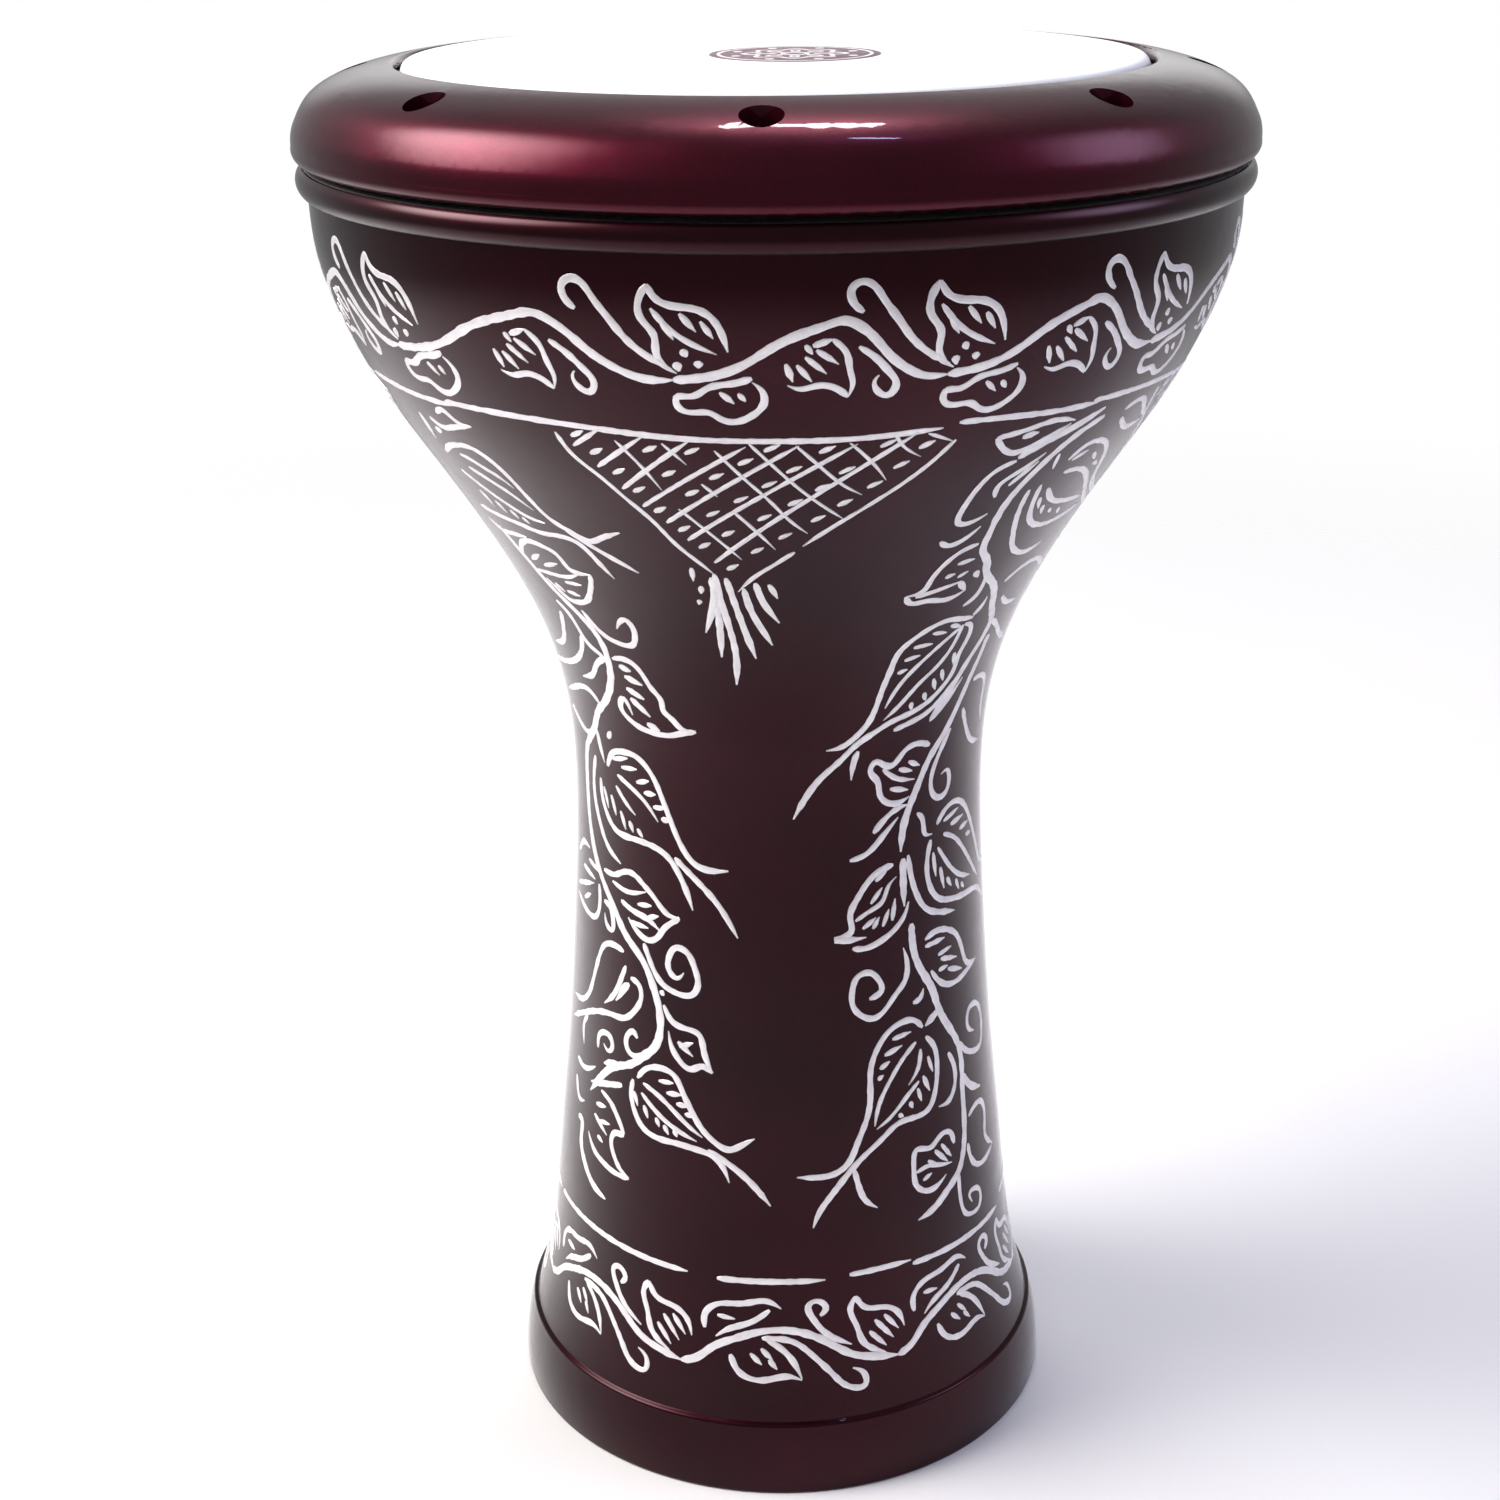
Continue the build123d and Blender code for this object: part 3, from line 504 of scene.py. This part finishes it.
def lathe(profile, segments=LATHE_SEGMENTS, centre=(0, 0)):
    """Vertices and faces of a closed profile of (radius, height) in mm, turned round a vertical axis."""
    profile = np.array(profile, float) * MM
    turn = np.arange(segments) * 2 * math.pi / segments
    ring = np.stack([np.cos(turn), np.sin(turn)], 1)
    verts = np.concatenate([
        np.column_stack([ring * r + np.array(centre) * MM, np.full(segments, z)]) for r, z in profile
    ])
    rows = len(profile)
    faces = []
    for i in range(rows):
        a, b = i * segments, ((i + 1) % rows) * segments
        for j in range(segments):
            k = (j + 1) % segments
            faces.append((a + j, a + k, b + k, b + j))
    return verts, faces


class Wall:
    """The goblet's outer wall, as a surface over azimuth and height."""

    def __init__(self, points):
        curve = smooth_curve(points, 24)
        self.heights, self.radii = curve[:, 1], curve[:, 0]
        self.slopes = np.gradient(self.radii, self.heights)

    def radius(self, height):
        return np.interp(height, self.heights, self.radii)

    def place(self, azimuth, height):
        """Points on the wall in mm, and the wall's normals there. The azimuth is in degrees."""
        radius, slope = self.radius(height), np.interp(height, self.heights, self.slopes)
        turn = np.radians(azimuth)
        out = 1 / np.sqrt(1 + slope**2)
        normal = np.stack([np.sin(turn) * out, -np.cos(turn) * out, -slope * out], -1)
        point = np.stack([radius * np.sin(turn), -radius * np.cos(turn), height + 0 * turn], -1)
        return point, normal


WALL_SURFACE = Wall(OUTER_WALL)
CUT_STEP = 0.9          # mm between sections along a stroke
CUT_RAGGED = 0.208      # how much the cutter's chatter changes the width
CUT_DOT = (0.4, 0.8)    # half sizes of a stroke given as one point, in degrees and mm
# Longest taper in mm, the share of a short stroke that it may take, and the width left at the tip.
CUT_START = (1.5, 1 / 4, 0.45)
CUT_END = (5.0, 1 / 2.5, 0.22)
# Section of a cut, as (share of the half width, height above the paint in mm): burrs at both
# edges, a hollow between them, and a foot below the paint.
CUT_SECTION = [(-1, -0.15), (-1, 0.03), (-0.74, 0.17), (0, 0.04), (0.74, 0.17), (1, 0.03), (1, -0.15)]


class Engraving:
    """Strokes cut through the paint into the bright metal, gathered into one mesh."""

    def __init__(self, name, seed):
        self.name, self.verts, self.faces = name, [], []
        self.random = random.Random(seed)

    def stroke(self, width, points, turn=0.0):
        """A tapering cut along a smooth line through the points, turned round the drum by turn degrees."""
        points = [(a + turn, z) for a, z in points]
        if len(points) == 1:
            (a, z), = points
            points = [(a + k * CUT_DOT[0], z + k * CUT_DOT[1]) for k in (-1, 1)]
        across = math.radians(1) * float(np.mean([WALL_SURFACE.radius(z) for _, z in points]))
        flat = smooth_curve([(a * across, z) for a, z in points])
        along = np.concatenate([[0], np.cumsum(np.linalg.norm(np.diff(flat, axis=0), axis=1))])
        length = along[-1]
        count = max(4, int(length / CUT_STEP))
        s = np.linspace(0, length, count + 1)
        u, z = np.interp(s, along, flat[:, 0]), np.interp(s, along, flat[:, 1])
        centre, normal = WALL_SURFACE.place(u / across, z)
        tangent = np.gradient(centre, axis=0)
        tangent /= np.linalg.norm(tangent, axis=1)[:, None]
        side = np.cross(normal, tangent)
        taper = 1
        for distance, (reach, share, tip) in ((s, CUT_START), (length - s, CUT_END)):
            taper = taper * np.minimum(1, tip + (1 - tip) * distance / min(reach, length * share))
        chatter = np.array([self.random.uniform(-1, 1) for _ in s])
        chatter = np.convolve(chatter, (0.25, 0.5, 0.25), "same")
        half = width / 2 * taper * (1 + CUT_RAGGED * chatter)
        base = len(self.verts)
        size = len(CUT_SECTION)
        for i in range(count + 1):
            for share, lift in CUT_SECTION:
                p = centre[i] + side[i] * half[i] * share + normal[i] * lift
                self.verts.append(tuple(p * MM))
        for i in range(count):
            for j in range(size):
                a, b = base + i * size + j, base + i * size + (j + 1) % size
                self.faces.append((a, a + size, b + size, b))
        self.faces.append(tuple(range(base, base + size)))
        self.faces.append(tuple(reversed(range(base + count * size, base + (count + 1) * size))))

    def motif(self, strokes, turn=0.0):
        for width, points in strokes:
            self.stroke(width, points, turn)

    def finish(self, material):
        piece = mesh_object(self.name, self.verts, self.faces, material, sharp_angle=50)
        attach(piece, "shell")


# ---- Materials ----------------------------------------------------------------------------
class Shader:
    """A node material with short names for the nodes that these finishes use."""

    def __init__(self, name):
        self.material = bpy.data.materials.new(name)
        self.material.use_nodes = True
        self.nodes, self.links = self.material.node_tree.nodes, self.material.node_tree.links
        self.surface = self.nodes["Principled BSDF"]
        self.place = self.nodes.new("ShaderNodeTexCoord").outputs["Object"]

    def set(self, **values):
        for name, value in values.items():
            self.surface.inputs[name.replace("_", " ")].default_value = value
        return self

    def join(self, source, target):
        self.links.new(source, target)

    def noise(self, scale, detail=4.0, roughness=0.55, stretch=(1, 1, 1), distortion=0.0):
        mapping = self.nodes.new("ShaderNodeMapping")
        mapping.inputs["Scale"].default_value = stretch
        self.links.new(self.place, mapping.inputs["Vector"])
        node = self.nodes.new("ShaderNodeTexNoise")
        node.inputs["Scale"].default_value = scale
        node.inputs["Detail"].default_value = detail
        node.inputs["Roughness"].default_value = roughness
        node.inputs["Distortion"].default_value = distortion
        self.links.new(mapping.outputs["Vector"], node.inputs["Vector"])
        return node.outputs["Fac"]

    def grains(self, scale, output="Distance"):
        node = self.nodes.new("ShaderNodeTexVoronoi")
        node.inputs["Scale"].default_value = scale
        self.links.new(self.place, node.inputs["Vector"])
        return node.outputs[output]

    def ramp(self, source, *stops):
        """Colours, or greys given as one number, at places from 0 to 1."""
        node = self.nodes.new("ShaderNodeValToRGB")
        stops = [(at, (c, c, c) if isinstance(c, (int, float)) else c) for at, c in stops]
        while len(node.color_ramp.elements) < len(stops):
            node.color_ramp.elements.new(0.5)
        for element, (at, colour) in zip(node.color_ramp.elements, stops):
            element.position = at
            element.color = (*colour, 1)
        self.links.new(source, node.inputs["Fac"])
        return node.outputs["Color"]

    def mix(self, factor, a, b, blend="MIX"):
        node = self.nodes.new("ShaderNodeMix")
        node.data_type, node.blend_type = "RGBA", blend
        for socket, value in ((node.inputs[0], factor), (node.inputs[6], a), (node.inputs[7], b)):
            if isinstance(value, bpy.types.NodeSocket):
                self.links.new(value, socket)
            else:
                socket.default_value = value if isinstance(value, float) else (*value, 1)
        return node.outputs[2]

    def bump(self, height, strength, distance, target="Normal"):
        node = self.nodes.new("ShaderNodeBump")
        node.inputs["Strength"].default_value = strength
        node.inputs["Distance"].default_value = distance
        self.links.new(height, node.inputs["Height"])
        self.links.new(node.outputs["Normal"], self.surface.inputs[target])


def candy_lacquer(name, deep, bright):
    """Transparent coloured lacquer over fine metal flake, with a clear glossy coat."""
    s = Shader(name)
    s.set(Metallic=0.92, Coat_Weight=1.0, Coat_Roughness=0.035, Coat_IOR=1.22, IOR=1.3)
    clouds = s.noise(9, 5, 0.6)
    flake = s.grains(2600, "Color")
    body = s.mix(s.ramp(clouds, (0.3, 0.0), (0.75, 1.0)), deep, bright)
    sparkle = s.mix(0.16, body, flake, "OVERLAY")
    s.join(sparkle, s.surface.inputs["Base Color"])
    s.join(s.ramp(s.noise(60, 6, 0.65), (0.25, 0.32), (0.8, 0.44)), s.surface.inputs["Roughness"])
    s.bump(s.grains(1500), 0.12, 0.00006)
    s.bump(s.noise(140, 3, 0.5), 0.05, 0.0004, "Coat Normal")
    return s.material


def finish(name, tint, rough, relief=None, **values):
    """A finish whose colour and roughness drift between two values, over a fine relief.

    tint and rough each give a noise and two stops of (place, value). relief gives a noise, the
    strength and the depth in metres.
    """
    s = Shader(name).set(**values)
    for socket, (noise, *stops) in (("Base Color", tint), ("Roughness", rough)):
        s.join(s.ramp(s.noise(*noise), *stops), s.surface.inputs[socket])
    if relief:
        noise, strength, depth = relief
        s.bump(s.noise(*noise), strength, depth)
    return s


def steel(name, dark, light, smooth, rough):
    """Plated steel fasteners, rubbed lighter where a key has turned."""
    return finish(name, ((320, 5, 0.65), (0.35, dark), (0.72, light)),
                  ((650, 4), (0.3, smooth), (0.7, rough)),
                  ((900, 4), 0.25, 0.00012), Metallic=1.0).material


def print_ink(name, shade, worn, rough):
    """Screen-printed ink, thinned in specks."""
    return finish(name, ((520, 6, 0.7), (0.36, worn), (0.52, shade)),
                  ((260, 4), (0.3, rough), (0.7, rough + 0.15)),
                  ((1200, 3), 0.2, 0.00005), IOR=1.48).material


FLOOR_CLEAR, FLOOR_END = 0.35, 1.5      # metres from the drum over which the floor fades out
ROOM_LIGHT = 0.30       # how strongly the pale room lights the drum


def pale_floor():
    """Matt pale floor that fades into the white room."""
    s = finish("pale_floor", ((3, 4), (0.3, 0.86), (0.7, 0.89)), ((5, 3), (0.3, 0.8), (0.7, 0.9)), IOR=1.3)
    distance = s.nodes.new("ShaderNodeVectorMath")
    distance.operation = "LENGTH"
    s.join(s.place, distance.inputs[0])
    fade = s.nodes.new("ShaderNodeMapRange")
    fade.interpolation_type = "SMOOTHSTEP"
    for name, value in (("From Min", FLOOR_CLEAR), ("From Max", FLOOR_END), ("To Min", 1), ("To Max", 0)):
        fade.inputs[name].default_value = value
    s.join(distance.outputs["Value"], fade.inputs["Value"])
    s.join(fade.outputs["Result"], s.surface.inputs["Alpha"])
    return s.material


BODY_LACQUER = candy_lacquer("body_lacquer", (0.014, 0.0010, 0.0032), (0.033, 0.0020, 0.0066))
RIM_LACQUER = candy_lacquer("rim_lacquer", (0.048, 0.0026, 0.0095), (0.078, 0.0050, 0.0165))
# Bright metal freshly cut by a graver, with chatter marks across the cut.
CUT = finish("cut_aluminium", ((220, 5, 0.6), (0.25, (0.80, 0.76, 0.79)), (0.7, (0.97, 0.96, 0.97))),
             ((700, 4), (0.3, 0.3), (0.75, 0.5)), ((1400, 3, 0.6, (1, 1, 2.2)), 0.5, 0.00015),
             Metallic=0.45, IOR=1.6).material
# Sand-cast metal inside the goblet: dull, pitted and a little stained.
CAST = finish("cast_aluminium", ((14, 6, 0.65), (0.3, (0.34, 0.33, 0.33)), (0.75, (0.62, 0.61, 0.60))),
              ((14, 6, 0.65), (0.3, 0.62), (0.8, 0.45)), ((420, 6, 0.7), 0.6, 0.0006),
              Metallic=0.9).material
# Spun sheet of the head's hoop, with fine turning lines.
TURNING = (900, 2, 0.55, (0.05, 0.05, 6))
TURNED = finish("turned_aluminium", ((40, 4), (0.3, (0.66, 0.66, 0.67)), (0.7, (0.82, 0.82, 0.83))),
                (TURNING, (0.3, 0.24), (0.7, 0.38)), (TURNING, 0.25, 0.0001), Metallic=1.0).material
# White coated polyester film with the faint haze that fingers leave on it.
HANDLED = (22, 6, 0.6, (1, 1, 1), 0.4)
DRUM_FILM = finish("drum_film", (HANDLED, (0.3, (0.86, 0.855, 0.84)), (0.7, (0.92, 0.915, 0.90))),
                   (HANDLED, (0.3, 0.42), (0.75, 0.55)), ((1800, 3, 0.6), 0.18, 0.00005),
                   IOR=1.5, Subsurface_Weight=0.12, Subsurface_Scale=0.004).material
# Cured grey-white resin that holds the film in its hoop.
RESIN = finish("resin", ((160, 5), (0.3, (0.50, 0.49, 0.46)), (0.7, (0.66, 0.65, 0.61))),
               ((80, 4), (0.3, 0.4), (0.7, 0.6)), ((300, 4), 0.3, 0.0002), IOR=1.5).material


# ---- Goblet -------------------------------------------------------------------------------
def goblet():
    """The casting: lacquered outside, bare inside, with a tapped lug under each bolt."""
    low, high = (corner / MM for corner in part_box("goblet_shell"))
    rim_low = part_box("tuning_rim")[0] / MM
    bearing_edge, bead_radius = high.z, high.x
    flange_top = rim_low.z - RIM_GAP
    edge_x, edge_z = NECK_RADIUS - EDGE_ROUND, bearing_edge - EDGE_ROUND
    turned = EDGE_ROUND * math.sqrt(0.5)
    outer = smooth_curve(OUTER_WALL, 10).tolist()
    ring = (
        arc((BASE_RADIUS - 0.8, low.z), (BASE_RADIUS - 0.2, 0.3), (BASE_RADIUS, 1), 4)
        + arc((BASE_RADIUS, 1), (BASE_RADIUS - 0.6, 12.5), (86.9, 22.9), 14)[1:]
        + arc((86.9, 22.9), (86.72, 23.5), (86.3, 23.9), 3)[1:]
        + [(85.75, 24.1)]
    )
    bead = (
        [(137.6, 403.6)]
        + arc((bead_radius - 1.9, 403.8), (bead_radius, 407.5), (bead_radius - 1.7, flange_top), 12)
        + [(bead_radius - 2.4, flange_top)]
    )
    neck = (
        [(NECK_RADIUS + 0.5, flange_top), (NECK_RADIUS, flange_top + 0.5), (NECK_RADIUS, edge_z)]
        + arc((NECK_RADIUS, edge_z), (edge_x + turned, edge_z + turned), (edge_x, bearing_edge), 6)[1:]
        + [(NECK_BORE + 1.4, bearing_edge), (NECK_BORE, bearing_edge - 1.4)]
    )
    shelf = flange_top - WALL
    under = [(NECK_BORE, shelf + 3), (NECK_BORE + 3, shelf), (126, shelf), (129, shelf - 0.5),
             (131.3, shelf - 2.5)]
    inside = [(r - WALL, z) for r, z in OUTER_WALL[1:-1]]
    inner = smooth_curve([(131.7, 400)] + inside[::-1] + [(RING_BORE, 10)], 8).tolist()
    foot = [(RING_BORE, 0.8), (RING_BORE + 0.8, low.z)]
    painted = ring + outer + bead
    profile = painted + neck + under + inner + foot
    verts, faces = lathe(profile)
    paint, bare = 0, 1
    slots = []
    for i in range(len(profile)):
        slots += [paint if i < len(painted) - 1 else bare] * LATHE_SEGMENTS
    verts, faces = verts.tolist(), list(faces)
    lug = [
        (TAPPED_RADIUS, LUG_BOTTOM + 1), (TAPPED_RADIUS + 1, LUG_BOTTOM), (LUG_RADIUS - 1.2, LUG_BOTTOM),
        (LUG_RADIUS, LUG_BOTTOM + 1.2), (LUG_RADIUS, shelf + 1), (TAPPED_RADIUS, shelf + 1),
    ]
    for k in range(BOLT_COUNT):
        turn = 2 * math.pi * k / BOLT_COUNT
        centre = (BOLT_CIRCLE * math.cos(turn), BOLT_CIRCLE * math.sin(turn))
        lug_verts, lug_faces = lathe(lug, 40, centre)
        base = len(verts)
        verts += lug_verts.tolist()
        faces += [tuple(base + v for v in f) for f in lug_faces]
        slots += [bare] * len(lug_faces)
    piece = mesh_object("goblet", verts, faces, [BODY_LACQUER, CAST], slots, 28)
    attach(piece, "shell")
    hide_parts("goblet_shell")


goblet()


# ---- Engraving ----------------------------------------------------------------------------
def engrave():
    band = Engraving("engraving_upper_band", 11)
    for trough, length in UPPER_WAVES:
        stretch = length / UPPER_WAVE
        for width, points in UPPER_AT_TROUGH:
            shaped = [(a * stretch, z) for a, z in points] if width == VINE else points
            band.stroke(width, shaped, trough)
        band.motif(UPPER_AT_CREST, trough + UPPER_CREST * stretch)
    band.finish(CUT)

    band = Engraving("engraving_lower_band", 12)
    for crest in LOWER_CRESTS:
        band.motif(LOWER_AT_CREST, crest)
        band.motif(LOWER_AT_TROUGH, crest + LOWER_HALF_WAVE)
    band.finish(CUT)

    lines = Engraving("engraving_borders", 13)
    for turn in QUARTERS:
        lines.motif(UPPER_BORDER, turn)
    for turn in HALVES:
        lines.motif(LOWER_BORDER, turn)
    lines.finish(CUT)

    nets = Engraving("engraving_nets", 14)
    for turn in QUARTERS:
        nets.motif(NET, turn)
        for a, z in NET_CELLS:
            nets.stroke(HATCH, [(a - 1.0, z - 1.0), (a + 1.0, z + 1.0)], turn)
    nets.finish(CUT)

    for number, turn in enumerate(HALVES, start=1):
        for side, strokes in (("left", GARLAND_LEFT), ("right", GARLAND_RIGHT)):
            garland = Engraving(f"engraving_garland_{side}_{number}", 20 + number)
            garland.motif(strokes, turn)
            garland.finish(CUT)


engrave()


# ---- Head ---------------------------------------------------------------------------------
def head():
    """The film: flat playing surface, turned down over the bearing edge and into the hoop."""
    low, high = (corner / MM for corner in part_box("head_film"))
    edge_round = EDGE_ROUND + FILM_GAP
    edge_x, edge_z = NECK_RADIUS - EDGE_ROUND, high.z - FILM - edge_round
    skirt = high.x

    def turned(radius, steps=8):
        middle = radius * math.sqrt(0.5)
        start, end = (edge_x, edge_z + radius), (edge_x + radius, edge_z)
        return arc(start, (edge_x + middle, edge_z + middle), end, steps)

    rings = (0.02, 15, 30, 45, 60, 75, 88, 98)
    top = [(r, high.z) for r in rings]
    outer = top + turned(edge_round + FILM) + [(skirt, SKIRT_FOLD), (skirt, low.z)]
    inner = [(skirt - FILM, low.z), (skirt - FILM, SKIRT_FOLD - FILM / 2)] + turned(edge_round)[::-1]
    under = [(r, high.z - FILM) for r in reversed(rings)]
    verts, faces = lathe(outer + inner + under, 192)
    piece = mesh_object("head", verts, faces, DRUM_FILM, sharp_angle=50)
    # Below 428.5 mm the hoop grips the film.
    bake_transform(piece)
    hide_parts("head_film")


head()


def badge():
    """A printed rosette of plain geometric shapes on the playing surface."""
    low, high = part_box("head_badge")
    centre, radius = (low + high) / 2, (high.x - low.x) / 2
    ink = print_ink("badge_ink", (0.15, 0.095, 0.11), (0.24, 0.175, 0.19), 0.5)
    pale = print_ink("badge_pale", (0.86, 0.84, 0.84), (0.66, 0.61, 0.62), 0.5)
    middle = (centre.x / MM, centre.y / MM)
    outer, base, top = radius / MM, low.z / MM, high.z / MM
    ink_top = base + 0.6 * (top - base)
    disc = [(0.02, base), (outer - 0.1, base), (outer, base + 0.03), (outer - 0.1, ink_top)]
    disc.append((0.02, ink_top))
    verts, faces = lathe(disc, 128, middle)
    piece = mesh_object("badge_disc", verts, faces, ink)
    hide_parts("head_badge")

    verts, faces, petals = [], [], 8

    def band(small, large, away=0.0, turn=0.0, wave=0.0, count=128):
        """A thin printed band between two ovals.

        Each oval is its half length and half width, away is its distance from the middle in the
        direction turn, and wave is the height of its lobes, all as shares of the badge's radius.
        """
        start, up = len(verts), 2 * count
        for height in (ink_top - 0.01, top):
            for long, wide in (small, large):
                for k in range(count):
                    t = 2 * math.pi * k / count
                    lobe = wave * math.cos(petals * t)
                    along, beside = away + (long + lobe) * math.cos(t), (wide + lobe) * math.sin(t)
                    x = along * math.cos(turn) - beside * math.sin(turn)
                    y = along * math.sin(turn) + beside * math.cos(turn)
                    verts.append(((middle[0] + outer * x) * MM, (middle[1] + outer * y) * MM, height * MM))
        for i in range(count):
            j = (i + 1) % count
            a, b, c, d = start + i, start + j, start + count + j, start + count + i
            faces.extend([(a + up, d + up, c + up, b + up), (a, b, c, d),
                          (a, a + up, b + up, b), (d, c, c + up, d + up)])

    for inner, outside, wave in ((0.87, 0.91, 0), (0.50, 0.56, 0.07), (0.12, 0.17, 0)):
        band((inner, inner), (outside, outside), wave=wave)
    for k in range(petals):
        turn = 2 * math.pi * k / petals
        band((0.06875, 0.0341), (0.125, 0.062), 0.335, turn, count=24)
        band((0.011, 0.011), (0.055, 0.055), 0.73, turn + math.pi / petals, count=16)
    rosette = mesh_object("badge_rosette", verts, faces, pale)
    for part in (piece, rosette):
        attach(part, "shell")


badge()


# ---- Carried-over pieces ------------------------------------------------------------------
BOLT_STEEL = steel("bolt_steel", (0.10, 0.10, 0.11), (0.30, 0.30, 0.32), 0.26, 0.42)
WASHER_STEEL = steel("washer_steel", (0.22, 0.22, 0.23), (0.42, 0.42, 0.43), 0.3, 0.45)
finishes = {"tuning_rim": RIM_LACQUER, "head_hoop": TURNED, "hoop_resin": RESIN}
for number in range(1, BOLT_COUNT + 1):
    finishes[f"tension_bolt_{number}"] = BOLT_STEEL
    finishes[f"bolt_washer_{number}"] = WASHER_STEEL
for name, material in finishes.items():
    nodes[name].data.materials.clear()
    nodes[name].data.materials.append(material)


# ---- Studio -------------------------------------------------------------------------------
def studio():
    """A pale floor, an even pale room and soft lamps round the drum."""
    middle = (Vector(cad_box[0]) + Vector(cad_box[1])) / 2
    reach = FLOOR_END
    corners = [(-reach, -reach, 0), (reach, -reach, 0), (reach, reach, 0), (-reach, reach, 0)]
    floor = mesh_object("floor", corners, [(0, 1, 2, 3)], pale_floor())

    world = bpy.data.worlds.new("studio")
    bpy.context.scene.world = world
    world.use_nodes = True
    tree = world.node_tree
    shown, lit = tree.nodes["Background"], tree.nodes.new("ShaderNodeBackground")
    shown.inputs["Color"].default_value = (1, 1, 1, 1)
    shown.inputs["Strength"].default_value = 1.0
    lit.inputs["Color"].default_value = (0.96, 0.97, 1, 1)
    lit.inputs["Strength"].default_value = ROOM_LIGHT
    ray, blend = tree.nodes.new("ShaderNodeLightPath"), tree.nodes.new("ShaderNodeMixShader")
    tree.links.new(ray.outputs["Is Camera Ray"], blend.inputs["Fac"])
    tree.links.new(lit.outputs["Background"], blend.inputs[1])
    tree.links.new(shown.outputs["Background"], blend.inputs[2])
    tree.links.new(blend.outputs["Shader"], tree.nodes["World Output"].inputs["Surface"])

    def fade_edges(light):
        """The lamp's cloth is brightest in the middle and fades to nothing at its edges."""
        light.use_nodes = True
        lamp_tree = light.node_tree
        across = lamp_tree.nodes.new("ShaderNodeNewGeometry").outputs["Parametric"]
        offset, length = (lamp_tree.nodes.new("ShaderNodeVectorMath") for _ in range(2))
        offset.operation, length.operation = "SUBTRACT", "LENGTH"
        offset.inputs[1].default_value = (0.5, 0.5, 0)
        fade = lamp_tree.nodes.new("ShaderNodeMapRange")
        fade.interpolation_type = "SMOOTHERSTEP"
        for key, value in (("From Min", 0.0), ("From Max", 0.5), ("To Min", 2.6), ("To Max", 0.0)):
            fade.inputs[key].default_value = value
        lamp_tree.links.new(across, offset.inputs[0])
        lamp_tree.links.new(offset.outputs["Vector"], length.inputs[0])
        lamp_tree.links.new(length.outputs["Value"], fade.inputs["Value"])
        lamp_tree.links.new(fade.outputs["Result"], lamp_tree.nodes["Emission"].inputs["Strength"])

    def lamp(name, azimuth, elevation, distance, size, power, colour=(1, 1, 1), aim=middle, soft=True):
        """A rectangular lamp. Azimuth 0 is on the camera's side, -Y, and grows towards +X."""
        light = bpy.data.lights.new(name, "AREA")
        light.shape, light.size, light.size_y = "RECTANGLE", *size
        light.energy, light.color = power, colour
        if soft:
            fade_edges(light)
        a, e = math.radians(azimuth), math.radians(elevation)
        out = Vector((math.sin(a) * math.cos(e), -math.cos(a) * math.cos(e), math.sin(e)))
        obj = bpy.data.objects.new(name, light)
        obj.location = aim + out * distance
        obj.rotation_euler = (-out).to_track_quat("-Z", "Y").to_euler()
        obj.visible_camera = False
        bpy.context.scene.collection.objects.link(obj)

    head_middle = Vector((0, 0, cad_box[1][2]))
    lamp("lamp_left", -84, 44, 1.7, (2.0, 1.7), 70, (1.0, 0.94, 0.92))
    lamp("lamp_right", 88, 34, 1.8, (1.5, 1.5), 14, (0.72, 0.66, 1.0))
    lamp("lamp_window", 176, 66, 1.7, (0.44, 0.24), 12, (1, 1, 1), head_middle, False)
    lamp("lamp_ceiling", 75, 76, 1.6, (0.07, 0.20), 2.4, (0.50, 0.60, 1.0), head_middle, False)
    lamp("lamp_behind", 180, 16, 2.2, (3.4, 1.3), 5)


studio()


def camera():
    """The viewpoint: in front of the drum, just above the head, looking a little down."""
    distance, height, round_drum = 0.732, 0.503, math.radians(1.5)
    pitch, yaw, roll = math.radians(21.01), math.radians(-0.72), math.radians(-0.57)
    data = bpy.data.cameras.new("camera")
    data.sensor_width, data.lens = 36.0, 58.2
    obj = bpy.data.objects.new("camera", data)
    to_axis = Matrix.Rotation(round_drum, 3, "Z")
    level = math.cos(pitch)
    ahead = to_axis @ Vector((math.sin(yaw) * level, math.cos(yaw) * level, -math.sin(pitch)))
    right = ahead.cross(Vector((0, 0, 1))).normalized()
    up = right.cross(ahead)
    tilted_right = math.cos(roll) * right + math.sin(roll) * up
    tilted_up = math.cos(roll) * up - math.sin(roll) * right
    obj.matrix_world = Matrix((tilted_right, tilted_up, -ahead)).transposed().to_4x4()
    obj.location = to_axis @ Vector((0, -distance, 0)) + Vector((0, 0, height))
    bpy.context.scene.collection.objects.link(obj)
    bpy.context.scene.camera = obj


camera()
bpy.context.scene.view_settings.view_transform = "Standard"
